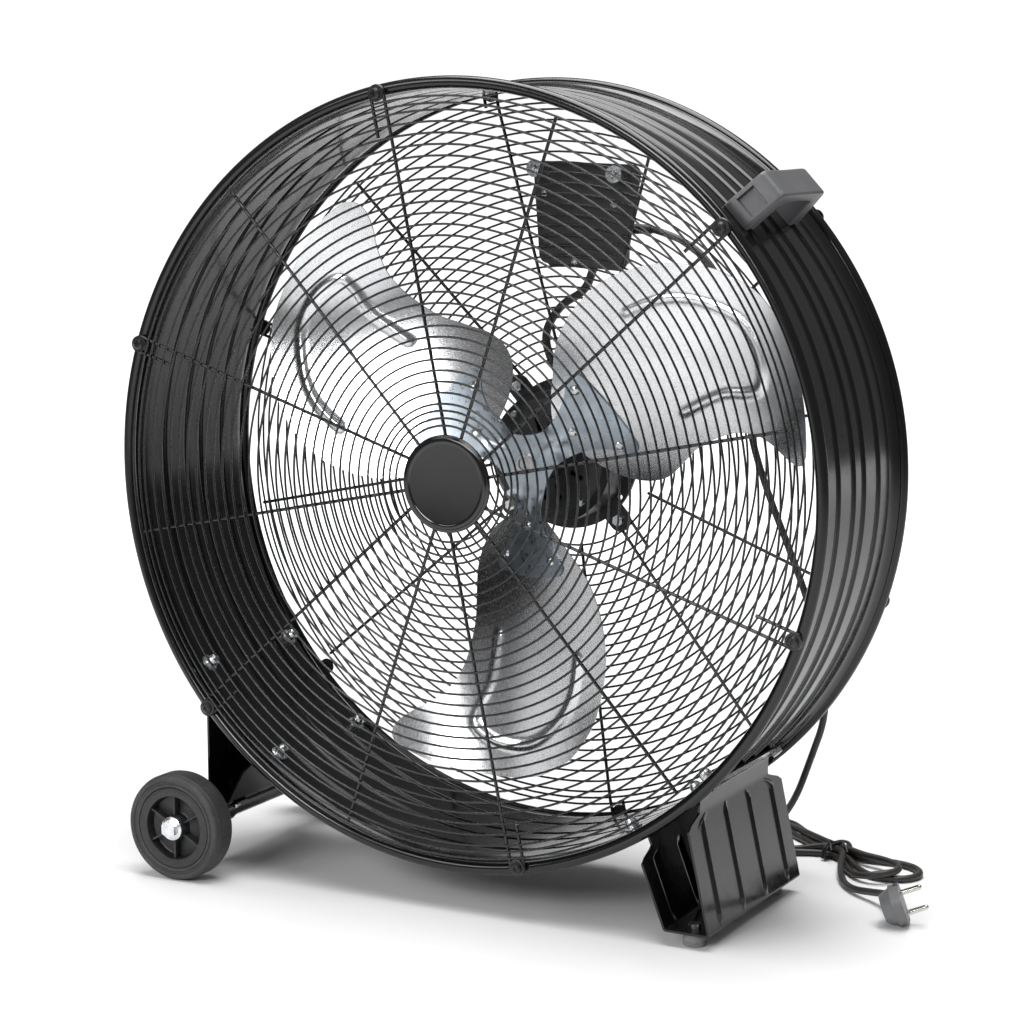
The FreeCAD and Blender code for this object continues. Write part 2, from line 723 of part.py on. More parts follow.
def blade_rivets():
    rivets = []
    for u, v in RIVETS:
        point, normal = rivet_place(u, v)
        front = -(SPIDER_T + GAP) * normal.y - GAP
        rear = BLADE_T * normal.y + GAP
        body = spin([
            (0, front - 2.2), (2.6, front - 1.9), (RIVET_HEAD_R - 0.8, front - 1.0), (RIVET_HEAD_R, front),
            (RIVET_R, front), (RIVET_R, rear), (RIVET_HEAD_R - 1, rear), (RIVET_HEAD_R - 1, rear + 1.0),
            (RIVET_R, rear + 2.0), (0, rear + 2.0)])
        body.Placement = FreeCAD.Placement(point, FreeCAD.Rotation(V(0, 1, 0), normal))
        rivets.append(body)
    solids = []
    for angle in BLADE_ANGLES:
        solids += [turned(rivet, angle) for rivet in rivets]
    return Part.makeCompound(solids)


def fan_hub():
    body = spin([
        (SHAFT_R + 0.02, HUB_FRONT), (HUB_R - 0.6, HUB_FRONT), (HUB_R, HUB_FRONT + 0.6),
        (HUB_R, SPIDER_Y - GAP),
        (7.7, SPIDER_Y - GAP), (7.7, SPIDER_Y + SPIDER_T + GAP), (16, SPIDER_Y + SPIDER_T + GAP),
        (16, SPIDER_Y + SPIDER_T + 4), (12.5, SPIDER_Y + SPIDER_T + 6), (12.5, HUB_REAR - 1),
        (11.5, HUB_REAR),
        (SHAFT_R + 0.02, HUB_REAR)])
    return body.cut(Part.makeCylinder(2.55, 20, V(0, 59, 0), V(0, 0, 1)))


def hub_set_screw():
    screw = Part.makeCylinder(2.5, 7.3, V(0, 59, SHAFT_R + 0.1), V(0, 0, 1))
    socket = []
    for k in range(6):
        x, z = at(1.4, 60 * k)
        socket.append(V(x, 59 + z, 10))
    return screw.cut(Part.Face(Part.makePolygon(socket + socket[:1])).extrude(V(0, 0, 5)))


# ---- switch unit ----------------------------------------------------------
PANEL_CORNERS = [(-36.0, 274.0), (76.5, 270.5), (60.0, 172.4), (-29.0, 179.0)]
CLAMP_SCREWS = [(-25.6, 267.0), (56.2, 262.3)]
BOX_SCREWS = [(-23.5, 244.0), (48.3, 234.3), (8.0, 181.0)]
CLAMP_TOP = 108.3
CLAMP_T = 1.6
SPACER_FRONT = 114.2


def switch_plate():
    plate = slab(PANEL_CORNERS, PANEL_Y, PANEL_Y + PANEL_T)
    upright = [edge for edge in plate.Edges if abs(edge.tangentAt(edge.FirstParameter).y) > 0.99]
    plate = plate.makeFillet(9.0, upright)
    hole_r = PANEL_SCREW_R + 0.2
    holes = [rod(x, z, hole_r, PANEL_Y - 1, PANEL_Y + PANEL_T + 1) for x, z in CLAMP_SCREWS + BOX_SCREWS]
    return plate.cut(Part.makeCompound(holes))


def switch_box():
    y0 = PANEL_Y + PANEL_T
    y1 = y0 + BOX_DEPTH
    body = Part.makeBox(BOX_X[1] - BOX_X[0], y1 - y0, BOX_Z[1] - BOX_Z[0], V(BOX_X[0], y0, BOX_Z[0]))
    edges = [edge for edge in body.Edges if edge.BoundBox.YMax > y0 + 1]
    body = body.makeFillet(4.0, edges)
    wall = BOX_WALL
    room = Part.makeBox(
        BOX_X[1] - BOX_X[0] - 2 * wall, BOX_DEPTH - wall + 5, BOX_Z[1] - BOX_Z[0] - 2 * wall,
        V(BOX_X[0] + wall, y0 - 5, BOX_Z[0] + wall))
    body = body.cut(room)
    for x, z in BOX_SCREWS:
        body = body.fuse(rod(x, z, 5.0, y0, y0 + 14))
    holes = [rod(x, z, PANEL_SCREW_R + FIT, y0 - 1, y0 + 11.5) for x, z in BOX_SCREWS]
    holes.append(rod(KNOB_X, KNOB_Z, BUSH_R + FIT, y1 - 6, y1 + 1))
    holes.append(Part.makeCylinder(5.6, 12, V(BOX_X[1] - 6, 150, 211), V(1, 0, 0)))
    return body.cut(Part.makeCompound(holes))


def rotary_switch():
    wall = PANEL_Y + PANEL_T + BOX_DEPTH - BOX_WALL
    body = Part.makeBox(32, 16, 32, V(KNOB_X - 16, wall - 16.3, KNOB_Z - 16))
    bush = rod(KNOB_X, KNOB_Z, BUSH_R, wall - 1, wall + BOX_WALL)
    tags = [Part.makeBox(5, 6, 0.8, V(KNOB_X - 2.5, wall - 22, KNOB_Z + dz)) for dz in (-12, -4, 4, 12)]
    solid = fuse([body, bush] + tags)
    return solid.cut(rod(KNOB_X, KNOB_Z, KNOB_SHAFT_R + FIT, wall - 12, wall + 5))


def capacitor():
    return Part.makeBox(46, 18, 17, V(-11, PANEL_Y + PANEL_T + 16, BOX_Z[0] + 6))


def knob_shaft():
    shaft = rod(KNOB_X, KNOB_Z, KNOB_SHAFT_R, 155.0, 182.0)
    flat = Part.makeBox(8, 12, 2, V(KNOB_X - 4, 172.0, KNOB_Z + KNOB_SHAFT_R - 0.7))
    return shaft.cut(flat)


def speed_knob():
    y0 = PANEL_Y + PANEL_T + BOX_DEPTH + 0.5
    body = spin([
        (0, y0), (KNOB_R, y0), (KNOB_R, y0 + 3), (KNOB_R - 2.5, y0 + 4), (KNOB_R - 3.2, REAR_Y - 1.5),
        (KNOB_R - 4.4, REAR_Y - 0.3), (KNOB_R - 5, REAR_Y), (0, REAR_Y)], KNOB_X, KNOB_Z)
    cutters = [rod(KNOB_X, KNOB_Z, KNOB_SHAFT_R + 0.02, y0 - 1, 182.3)]
    for k in range(18):
        x, z = at(KNOB_R - 1.6, 20 * k + 10)
        cutters.append(rod(KNOB_X + x, KNOB_Z + z, 1.4, y0 + 4.2, REAR_Y + 1))
    cutters.append(Part.makeBox(1.6, 1.0, 9, V(KNOB_X - 0.8, REAR_Y - 0.8, KNOB_Z + 2)))
    return body.cut(Part.makeCompound(cutters))


def switch_spacers():
    """Spacer tube behind the rings and clamp disc in front of them, at each clamp screw."""
    pieces = []
    for x, z in CLAMP_SCREWS:
        pieces.append(tube(x, z, 6.5, PANEL_SCREW_R + 0.2, SPACER_FRONT, PANEL_Y))
        pieces.append(tube(x, z, 8.0, PANEL_SCREW_R + 0.2, CLAMP_TOP, CLAMP_TOP + CLAMP_T))
    return Part.makeCompound(pieces)


def switch_screws():
    screws = []
    for x, z in CLAMP_SCREWS:
        head = spin([(0, 105.4), (2.4, 105.6), (4.0, 107.0), (4.0, CLAMP_TOP), (0, CLAMP_TOP)], x, z)
        nut = hex_rod(x, z, 7.0, PANEL_Y + PANEL_T, PANEL_Y + PANEL_T + 3.2)
        screws.append(fuse([head, rod(x, z, PANEL_SCREW_R, CLAMP_TOP - 0.1, PANEL_Y + PANEL_T + 5), nut]))
    for x, z in BOX_SCREWS:
        head = spin([(0, 124.5), (2.0, 124.6), (3.4, 125.6), (3.4, PANEL_Y), (0, PANEL_Y)], x, z)
        screws.append(head.fuse(rod(x, z, PANEL_SCREW_R, PANEL_Y - 0.1, PANEL_Y + 13)))
    return Part.makeCompound(screws)


# ---- legs, bracket, wheels ------------------------------------------------
def wall_run(start, end, half, inward):
    """Flat wall between two (x, z) points, LEG_T thick towards the side given by inward."""
    dx = end[0] - start[0]
    dz = end[1] - start[1]
    length = math.hypot(dx, dz)
    nx, nz = -dz / length * LEG_T * inward, dx / length * LEG_T * inward
    corners = [start, end, (end[0] + nx, end[1] + nz), (start[0] + nx, start[1] + nz)]
    return slab(corners, -half, half)


def curved_flange(first, last):
    """Flange lying on the drum's beads between two angles, with bolt holes cut later."""
    profile = Part.makePolygon([
        V(SEAT_R, -TAB_HALF, 0), V(SEAT_R + LEG_T, -TAB_HALF, 0), V(SEAT_R + LEG_T, TAB_HALF, 0),
        V(SEAT_R, TAB_HALF, 0), V(SEAT_R, -TAB_HALF, 0)])
    solid = Part.Face(profile).revolve(V(0, 0, 0), V(0, -1, 0), last - first)
    return turned(solid, first)


def wall_rib(start, end, y, depth):
    """Pressed rib: half-round ridge with ball ends along a wall."""
    a = V(start[0], y, start[1])
    b = V(end[0], y, end[1])
    way = b.sub(a)
    ridge = Part.makeCylinder(depth, way.Length, a, way)
    return [ridge, Part.makeSphere(depth, a), Part.makeSphere(depth, b)]


def along(start, end, share):
    return start[0] + (end[0] - start[0]) * share, start[1] + (end[1] - start[1]) * share


def tab_run(foot, knee, angle, inward):
    """Narrower top of a wall, from just below its knee to the drum, trimmed to the drum's seat."""
    tab = wall_run(along(foot, knee, 0.97), at(SEAT_R - 1.0, angle), TAB_HALF, inward)
    return tab.cut(rod(0, 0, SEAT_R, -TAB_HALF - 1, TAB_HALF + 1))


LEG_OUT_FOOT = (252.0, -372.0)
LEG_OUT_KNEE = (230.0, -271.0)
LEG_OUT_TOP_ANGLE = -48.2
LEG_IN_FOOT = (209.0, -372.0)
LEG_IN_KNEE = (183.5, -306.0)
LEG_IN_TOP_ANGLE = -58.5
RIB_ROWS = (-75.0, -25.0, 25.0, 75.0)
RIB_DEPTH = 2.6


def flange_holes(angles):
    cutters = []
    for angle in angles:
        for y in (-BOLT_Y, BOLT_Y):
            start = out(angle).multiply(DRUM_R - 10).add(V(0, y, 0))
            cutters.append(Part.makeCylinder(BOLT_R + 0.2, 30, start, out(angle)))
    return cutters


def right_leg():
    plate = slab([(209, -372), (252, -372), (252, -370), (209, -370)], -LEG_HALF, LEG_HALF)
    walls = [
        plate,
        wall_run(LEG_OUT_FOOT, LEG_OUT_KNEE, LEG_HALF, 1),
        wall_run(LEG_IN_FOOT, LEG_IN_KNEE, LEG_HALF, -1),
        tab_run(LEG_OUT_FOOT, LEG_OUT_KNEE, LEG_OUT_TOP_ANGLE, 1),
        tab_run(LEG_IN_FOOT, LEG_IN_KNEE, LEG_IN_TOP_ANGLE, -1),
        curved_flange(LEG_OUT_TOP_ANGLE - FLANGE_LAP, LEG_OUT_TOP_ANGLE + FLANGE_ARC),
        curved_flange(LEG_IN_TOP_ANGLE - FLANGE_ARC, LEG_IN_TOP_ANGLE + FLANGE_LAP)]
    for y in RIB_ROWS:
        out_low = along(LEG_OUT_FOOT, LEG_OUT_KNEE, 0.12)
        out_high = along(LEG_OUT_FOOT, LEG_OUT_KNEE, 0.92)
        in_low = along(LEG_IN_FOOT, LEG_IN_KNEE, 0.15)
        in_high = along(LEG_IN_FOOT, LEG_IN_KNEE, 0.88)
        walls += wall_rib(out_low, out_high, y, RIB_DEPTH) + wall_rib(in_low, in_high, y, RIB_DEPTH)
    cutters = flange_holes(LEG_BOLT_ANGLES[:2])
    for y in (-FOOT_Y, FOOT_Y):
        cutters.append(Part.makeCylinder(BOLT_R + 0.2, 10, V(FOOT_X, y, -375), V(0, 0, 1)))
    return fuse(walls).cut(Part.makeCompound(cutters))


BRACKET_OUT_TOP_ANGLE = -142.5
BRACKET_IN_TOP_ANGLE = -129.3
BRACKET_OUT_FOOT = (-270.0, -323.5)
BRACKET_OUT_KNEE = (-270.0, -228.0)
BRACKET_IN_FOOT = (-249.0, -323.5)
BRACKET_IN_KNEE = (-226.0, -283.0)
STRAP_ROWS = (-62.0, 62.0)
STRAP_BOLT_X = -255.0


def left_bracket():
    floor = [(-274, -323.5), (-247, -323.5), (-247, -321.5), (-274, -321.5)]
    plate = slab(floor, -BRACKET_HALF, BRACKET_HALF)
    walls = [
        plate, wall_run(BRACKET_OUT_FOOT, BRACKET_OUT_KNEE, BRACKET_HALF, -1),
        wall_run(BRACKET_IN_FOOT, BRACKET_IN_KNEE, BRACKET_HALF, 1),
        tab_run(BRACKET_OUT_FOOT, BRACKET_OUT_KNEE, BRACKET_OUT_TOP_ANGLE, -1),
        tab_run(BRACKET_IN_FOOT, BRACKET_IN_KNEE, BRACKET_IN_TOP_ANGLE, 1),
        curved_flange(BRACKET_OUT_TOP_ANGLE - FLANGE_ARC, BRACKET_OUT_TOP_ANGLE + FLANGE_LAP),
        curved_flange(BRACKET_IN_TOP_ANGLE - FLANGE_LAP, BRACKET_IN_TOP_ANGLE + FLANGE_ARC)]
    for y in (-45.0, 0.0, 45.0):
        low = along(BRACKET_OUT_FOOT, BRACKET_OUT_KNEE, 0.15)
        walls += wall_rib(low, along(BRACKET_OUT_FOOT, BRACKET_OUT_KNEE, 0.9), y, RIB_DEPTH)
    cutters = flange_holes(LEG_BOLT_ANGLES[2:])
    for y in STRAP_ROWS:
        cutters.append(Part.makeCylinder(BOLT_R - 0.3, 10, V(STRAP_BOLT_X, y, -327), V(0, 0, 1)))
    return fuse(walls).cut(Part.makeCompound(cutters))


def axle_straps():
    """Straps that hold the axle tube up against the bracket's bottom plate."""
    straps = []
    for y in STRAP_ROWS:
        ring = tube(WHEEL_X, WHEEL_Z, AXLE_R + 2.2, AXLE_R + FIT, y - 9, y + 9)
        top = Part.makeBox(60, 20, 10, V(WHEEL_X - 30, y - 10, -323.8))
        tab = Part.makeBox(27, 18, 2, V(-274, y - 9, -325.8))
        body = fuse([ring, tab]).cut(rod(WHEEL_X, WHEEL_Z, AXLE_R + FIT, y - 20, y + 20)).cut(top)
        straps.append(body.cut(Part.makeCylinder(BOLT_R - 0.3, 10, V(STRAP_BOLT_X, y, -330), V(0, 0, 1))))
    return Part.makeCompound(straps)


def strap_bolts():
    bolts = []
    radius = BOLT_R - 0.5
    for y in STRAP_ROWS:
        shank = Part.makeCylinder(radius, 12, V(STRAP_BOLT_X, y, -331), V(0, 0, 1))
        head = Part.makeCylinder(4.6, 3, V(STRAP_BOLT_X, y, -321.5), V(0, 0, 1))
        nut = Part.makeCylinder(4.4, 3, V(STRAP_BOLT_X, y, -328.8), V(0, 0, 1))
        bolts.append(fuse([shank, head, nut]))
    return bolts


def radial_bolts(angle, y, out_from, head_h, across):
    """Hex bolt outside the drum; the shank reaches in to the domed nut."""
    head = hex_rod(0, 0, across, out_from, out_from + head_h)
    shank = rod(0, 0, BOLT_R, DRUM_R - SHEET - 7, out_from + 0.1)
    bolt = head.fuse(shank)
    bolt.rotate(V(0, 0, 0), V(0, 0, 1), -90)
    bolt.translate(V(0, y, 0))
    return turned(bolt, angle)


def leg_bolts():
    top = SEAT_R + LEG_T
    return [radial_bolts(angle, y, top, 4.0, 10.0) for angle in LEG_BOLT_ANGLES for y in (-BOLT_Y, BOLT_Y)]


def leg_nuts():
    seat = DRUM_R - SHEET - GAP
    nut = spin([
        (BOLT_R + FIT, seat), (8.0, seat), (8.0, seat - 1.5), (5.6, seat - 2.0), (5.6, seat - 6.5),
        (4.6, seat - 9.5), (2.2, seat - 11.3), (0, seat - 11.6), (0, seat - 8.5), (BOLT_R + FIT, seat - 8.5)])
    nut.rotate(V(0, 0, 0), V(0, 0, 1), -90)
    nuts = []
    for angle in LEG_BOLT_ANGLES:
        for y in (-BOLT_Y, BOLT_Y):
            copy = nut.copy()
            copy.translate(V(0, y, 0))
            nuts.append(turned(copy, angle))
    return nuts


def feet():
    pads = []
    for y in (-FOOT_Y, FOOT_Y):
        pad = Part.makeCone(FOOT_R - 1.2, FOOT_R, FOOT_H, V(FOOT_X, y, FLOOR_Z), V(0, 0, 1))
        hole = Part.makeCylinder(BOLT_R + FIT, 10, V(FOOT_X, y, FLOOR_Z + 5), V(0, 0, 1))
        pads.append(pad.cut(hole))
    return Part.makeCompound(pads)


def foot_bolts():
    bolts = []
    for y in (-FOOT_Y, FOOT_Y):
        head = hex_rod(0, 0, 10.0, 0, 4)
        head.rotate(V(0, 0, 0), V(1, 0, 0), 90)
        head.translate(V(FOOT_X, y, -370))
        shank = Part.makeCylinder(BOLT_R, 9.5, V(FOOT_X, y, -379.4), V(0, 0, 1))
        bolts.append(head.fuse(shank))
    return bolts


def axle():
    body = rod(WHEEL_X, WHEEL_Z, AXLE_R, -AXLE_HALF, AXLE_HALF)
    body = body.cut(rod(WHEEL_X, WHEEL_Z, AXLE_R - 1.5, -92, 92))
    return body.cut(rod(WHEEL_X, WHEEL_Z, WHEEL_BOLT_R + 0.02, -AXLE_HALF - 1, AXLE_HALF + 1))


def wheel_hub(side):
    body = spin([
        (WHEEL_BOLT_R + FIT, -WHEEL_IN), (WHEEL_BOLT_R + FIT, -WHEEL_OUT + 0.4), (10.5, -WHEEL_OUT + 0.4),
        (11.5, -WHEEL_OUT + 1.4), (12.5, -128.5), (28.0, -128.5), (29.5, -137.8), (30.3, -138.6),
        (TYRE_R, -138.6), (TYRE_R, -113.4), (29.5, -113.4), (28.5, -125), (12, -125),
        (11, -WHEEL_IN)], WHEEL_X, WHEEL_Z)
    ribs = []
    for k in range(HUB_RIBS):
        front = Part.makeBox(18.5, 8.5, 2.2, V(11.0, -136.5, -1.1))
        rear = Part.makeBox(18.5, 9.5, 2.2, V(11.0, -125.5, -1.1))
        for rib in (front, rear):
            rib.rotate(V(0, 0, 0), V(0, -1, 0), 30 + 360.0 / HUB_RIBS * k)
            rib.translate(V(WHEEL_X, 0, WHEEL_Z))
            ribs.append(rib)
    body = fuse([body] + ribs)
    return body if side < 0 else body.mirror(V(0, 0, 0), V(0, 1, 0))


def wheel_tyre(side):
    body = spin([
        (TYRE_R, -137.2), (39.5, -138.8), (41, -139.2), (41.6, -138.4), (43.5, -138.6), (46, -WHEEL_OUT),
        (47.6, -139.2), (49.2, -137), (WHEEL_R, -134), (WHEEL_R, -118), (49.2, -115), (47.6, -112.8),
        (46, -WHEEL_IN), (43.5, -113.4), (41.6, -113.6), (41, -112.8), (39.5, -113.2),
        (TYRE_R, -114.8)], WHEEL_X, WHEEL_Z)
    return body if side < 0 else body.mirror(V(0, 0, 0), V(0, 1, 0))


def wheel_bolts():
    bolts = []
    for side in (-1, 1):
        flange = spin([(0, -140.2), (11, -140.2), (11, -141.2), (8.5, -142.4), (0, -142.4)], WHEEL_X, WHEEL_Z)
        head = hex_rod(WHEEL_X, WHEEL_Z, 14.0, FRONT_Y, -142.3)
        bolt = fuse([flange, head, rod(WHEEL_X, WHEEL_Z, WHEEL_BOLT_R, -140.3, -98.0)])
        bolts.append(bolt if side < 0 else bolt.mirror(V(0, 0, 0), V(0, 1, 0)))
    return Part.makeCompound(bolts)


# ---- handle ---------------------------------------------------------------
def side_prism(corners, width):
    """Prism from (y, radius) corners, centred on angle 0 and standing outward along +X."""
    half = width / 2.0
    wire = Part.makePolygon([V(r, y, -half) for y, r in corners + corners[:1]])
    return Part.Face(wire).extrude(V(0, 0, width))


def both_ways(half):
    """Corners (y, radius) of a shape whose two ends mirror each other."""
    return [(-y, r) for y, r in half] + half[::-1]


def handle():
    top = HANDLE_TOP
    low = top - HANDLE_BAR
    half_outline = [(57, 330), (57, 346), (47, top - 3), (43, top)]
    half_hole = [(37, 320), (36, 346), (31, low - 3), (28, low)]
    body = side_prism(both_ways(half_outline), HANDLE_W)
    hole = side_prism(both_ways(half_hole), HANDLE_W + 2)
    body = body.cut(hole)
    across = [e for e in body.Edges if abs(e.tangentAt(e.FirstParameter).z) > 0.99]
    body = body.makeFillet(2.0, [e for e in across if e.BoundBox.XMin > 344])
    for side in (-1, 1):
        corners = [(side * 60, 351), (side * 51, 351), (side * 46.5, 369), (side * 60, 369)]
        body = body.cut(side_prism(corners, HANDLE_W - 9))
    shell = rod(0, 0, DRUM_R + GAP, -80, 80)
    for y in DRUM_BEADS:
        shell = shell.fuse(rod(0, 0, SEAT_R, y - BEAD_HALF - GAP, y + BEAD_HALF + GAP))
    body = body.cut(shell)
    for y in (-HANDLE_BOLT_Y, HANDLE_BOLT_Y):
        body = body.cut(Part.makeCylinder(BOLT_R + FIT, 15, V(DRUM_R - 5, y, 0), V(1, 0, 0)))
    return turned(body, HANDLE_ANGLE)


def handle_bolts():
    seat = DRUM_R - SHEET - GAP
    bolts = []
    for y in (-HANDLE_BOLT_Y, HANDLE_BOLT_Y):
        head = spin([
            (0, seat), (7.5, seat), (7.5, seat - 1.2), (5.4, seat - 1.2), (5.0, seat - 3.4),
            (3.0, seat - 4.6), (0, seat - 4.8)])
        bolt = head.fuse(rod(0, 0, BOLT_R, seat - 0.1, DRUM_R + 9.5))
        bolt.rotate(V(0, 0, 0), V(0, 0, 1), -90)
        bolt.translate(V(0, y, 0))
        bolts.append(turned(bolt, HANDLE_ANGLE))
    return Part.makeCompound(bolts)


# ---- cords ----------------------------------------------------------------
LEAD_ROUTE = [
    V(21, 141, 175.9), V(11, 144, 153), V(-19, 147, 137), V(-36, 148, 109), V(-26, 148, 80), V(-8, 147, 60.6)]
POWER_ROUTE = [
    V(76, 150, 211), V(112, 149, 203), V(146, 146, 172), V(164, 142, 124), V(174, 140, 72), V(183, 140, 20),
    V(200, 140, -28), V(222, 140, -78), V(243, 140, -130), V(257, 140, -180), V(260, 141, -228),
    V(243, 144, -274), V(228, 152, -310), V(206, 168, -340), V(180, 190, -362), V(160, 208, -371)]
TAIL_ROUTE = [
    V(262, 182, -378), V(268, 162, -380.5), V(280, 136, -381.4), V(298, 114, -380.5), V(322, 100, -376),
    V(346, 82, -369.5), V(355.9, 56.7, -368.2)]
PLUG_AT = V(362, 44, -367.7)
PLUG_TURN = 20.0
PLUG_TILT = 20.0
EARTH_ROUTE = [V(-14, 126, 66), V(-8, 124.5, 71.5), V(1, 124, 73.5), V(10, 125, 71), V(15, 126, 65.5)]


def strain_relief():
    neck = Part.makeCone(5.4, 4.2, 30, V(BOX_X[1] + 0.3, 150, 211), V(1, 0, 0))
    collar = Part.makeCylinder(8.0, 4.0, V(BOX_X[1], 150, 211), V(1, 0, 0))
    stem = Part.makeCylinder(5.4, 8, V(BOX_X[1] - 7.5, 150, 211), V(1, 0, 0))
    return fuse([neck, collar, stem])


def cord_hank():
    """Outer shape of the tied hank: two flat lobes and a waist."""
    def lobe(x, y, across, along_y, turn, low, high):
        disc = Part.makeCylinder(1.0, high - low, V(0, 0, 0))
        matrix = FreeCAD.Matrix()
        matrix.scale(across / 2.0, along_y / 2.0, 1.0)
        solid = disc.transformGeometry(matrix)
        solid.rotate(V(0, 0, 0), V(0, 0, 1), turn)
        solid.translate(V(x, y, low))
        return solid
    left = lobe(162, 250, 148, 116, -15, HANK_Z, HANK_Z + 20)
    right = lobe(303, 182, 100, 78, -20, HANK_Z, HANK_Z + 20)
    waist = Part.makeBox(60, 20, 17, V(-30, -10, 0))
    waist.rotate(V(0, 0, 0), V(0, 0, 1), -24)
    waist.translate(V(243, 218, HANK_Z + 1.7))
    return fuse([left, right, waist])


def cord_tie():
    band = Part.makeBox(12, 29, 22.5, V(-6, -14.5, 0))
    band = band.makeFillet(3.0, [e for e in band.Edges if abs(e.tangentAt(e.FirstParameter).x) > 0.99])
    return band.cut(Part.makeBox(14, 25, 18.9, V(-7, -12.5, 1.6)))


def placed_tie():
    band = cord_tie()
    band.rotate(V(0, 0, 0), V(0, 0, 1), -24)
    band.translate(V(243, 218, HANK_Z))
    return band


def plug_frame(shape):
    """Move a plug piece modelled with its pins along +X to where the plug lies."""
    shape.rotate(V(0, 0, 0), V(0, -1, 0), PLUG_TILT)
    shape.rotate(V(0, 0, 0), V(0, 0, 1), PLUG_TURN)
    shape.translate(PLUG_AT)
    return shape


def plug_body():
    face = Part.makeCylinder(18.5, 9, V(1, 0, 0), V(1, 0, 0))
    back = Part.makeCone(17.0, 12.5, 10, V(1.2, 0, 0), V(-1, 0, 0))
    collar = Part.makeCone(8.5, 4.6, 19, V(-1.5, 0, 0), V(0, 1, 0))
    body = fuse([face, back, collar])
    body = body.cut(Part.makeBox(5, 8, 5, V(6, -4, 15))).cut(Part.makeBox(5, 8, 5, V(6, -4, -20)))
    for dz in (-9.5, 9.5):
        body = body.cut(Part.makeCylinder(2.42, 8, V(4, 0, dz), V(1, 0, 0)))
    return plug_frame(body)


def plug_pins():
    pins = []
    for dz in (-9.5, 9.5):
        pin = Part.makeCylinder(2.4, 23, V(4.2, 0, dz), V(1, 0, 0))
        pins.append(pin.fuse(Part.makeSphere(2.4, V(27.2, 0, dz))))
    return plug_frame(Part.makeCompound(pins))


def main():
    save("drum_shell", drum_shell())
    save_rings()
    save("front_grille_spokes", front_spokes())
    save("rear_grille_spokes", rear_spokes())
    save("rim_washers", rim_washers())
    save("rim_screws", rim_screws())
    save("hub_cap", hub_cap())
    save("cap_retainer", cap_retainer())
    save("cap_screw", cap_screw())
    save("motor_front_bell", motor_front_bell())
    save("motor_stator", motor_stator())
    save("motor_windings", motor_windings())
    save("motor_rear_bell", motor_rear_bell())
    save("motor_mount_plate", motor_mount_plate())
    save("motor_tie_screws", motor_tie_screws())
    save("motor_mount_bolts", motor_mount_bolts())
    save("motor_bearings", Part.makeCompound([bearing(BELL_FRONT + 0.1), bearing(146.0)]))
    save("motor_rotor", motor_rotor())
    save("motor_shaft", motor_shaft())
    save("fan_hub", fan_hub())
    save("hub_set_screw", hub_set_screw())
    save("fan_spider", fan_spider())
    one_blade = blade()
    for k, angle in enumerate(BLADE_ANGLES):
        save("blade_%d" % (k + 1), turned(one_blade, angle))
    save("blade_rivets", blade_rivets())
    save("switch_plate", switch_plate())
    save("switch_box", switch_box())
    save("rotary_switch", rotary_switch())
    save("capacitor", capacitor())
    save("knob_shaft", knob_shaft())
    save("speed_knob", speed_knob())
    save("switch_spacers", switch_spacers())
    save("switch_screws", switch_screws())
    save("right_leg", right_leg())
    save("left_bracket", left_bracket())
    save("axle_straps", axle_straps())
    save("leg_bolts_and_nuts", Part.makeCompound(leg_bolts() + leg_nuts()))
    save("feet", feet())
    save("strap_and_foot_bolts", Part.makeCompound(strap_bolts() + foot_bolts()))
    save("axle", axle())
    save("wheel_front_hub", wheel_hub(-1))
    save("wheel_front_tyre", wheel_tyre(-1))
    save("wheel_rear_hub", wheel_hub(1))
    save("wheel_rear_tyre", wheel_tyre(1))
    save("wheel_bolts", wheel_bolts())
    save("handle", handle())
    save("handle_bolts", handle_bolts())
    save("strain_relief", strain_relief())
    for name, route, radius in (("motor_lead", LEAD_ROUTE, LEAD_R), ("earth_wire", EARTH_ROUTE, EARTH_R),
                                ("power_cord", POWER_ROUTE, CORD_R), ("cord_tail", TAIL_ROUTE, CORD_R)):
        solid, length, radii = cord(route, radius)
        report_cord(name, solid, length, radii, radius)
        save(name, solid)
    save("cord_hank", cord_hank())
    save("cord_tie", placed_tie())
    save("plug_body", plug_body())
    save("plug_pins", plug_pins())


main()
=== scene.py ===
"""Looks for the wheeled drum fan: meshes, materials, cord, floor, lights and camera.

Shapes are laid out in millimetres in the drum frame (origin in the middle of the
drum, Y along the fan's axis, front is -Y) and moved to metres in the row frame.
"""
import json
import math

import bmesh
import bpy
from mathutils import Matrix, Vector
from mathutils.geometry import delaunay_2d_cdt


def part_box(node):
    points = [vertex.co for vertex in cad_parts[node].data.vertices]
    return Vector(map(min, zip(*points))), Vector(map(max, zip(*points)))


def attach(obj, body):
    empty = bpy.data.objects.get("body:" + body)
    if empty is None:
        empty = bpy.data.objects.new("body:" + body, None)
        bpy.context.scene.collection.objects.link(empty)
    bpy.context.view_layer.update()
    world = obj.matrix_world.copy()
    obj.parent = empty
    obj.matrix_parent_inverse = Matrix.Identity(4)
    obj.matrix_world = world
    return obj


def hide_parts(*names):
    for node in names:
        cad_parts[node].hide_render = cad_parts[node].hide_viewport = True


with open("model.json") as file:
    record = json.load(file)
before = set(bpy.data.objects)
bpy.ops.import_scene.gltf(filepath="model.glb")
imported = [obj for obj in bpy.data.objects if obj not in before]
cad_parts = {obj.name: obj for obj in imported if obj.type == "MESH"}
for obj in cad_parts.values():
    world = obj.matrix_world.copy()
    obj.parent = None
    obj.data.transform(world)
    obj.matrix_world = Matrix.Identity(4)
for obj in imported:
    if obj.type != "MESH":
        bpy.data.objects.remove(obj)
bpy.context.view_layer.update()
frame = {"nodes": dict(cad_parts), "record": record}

low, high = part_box("drum_shell")
ORIGIN = (low + high) / 2.0
MM = 0.001


def place(x, y, z):
    return ORIGIN + Vector((x, y, z)) * MM


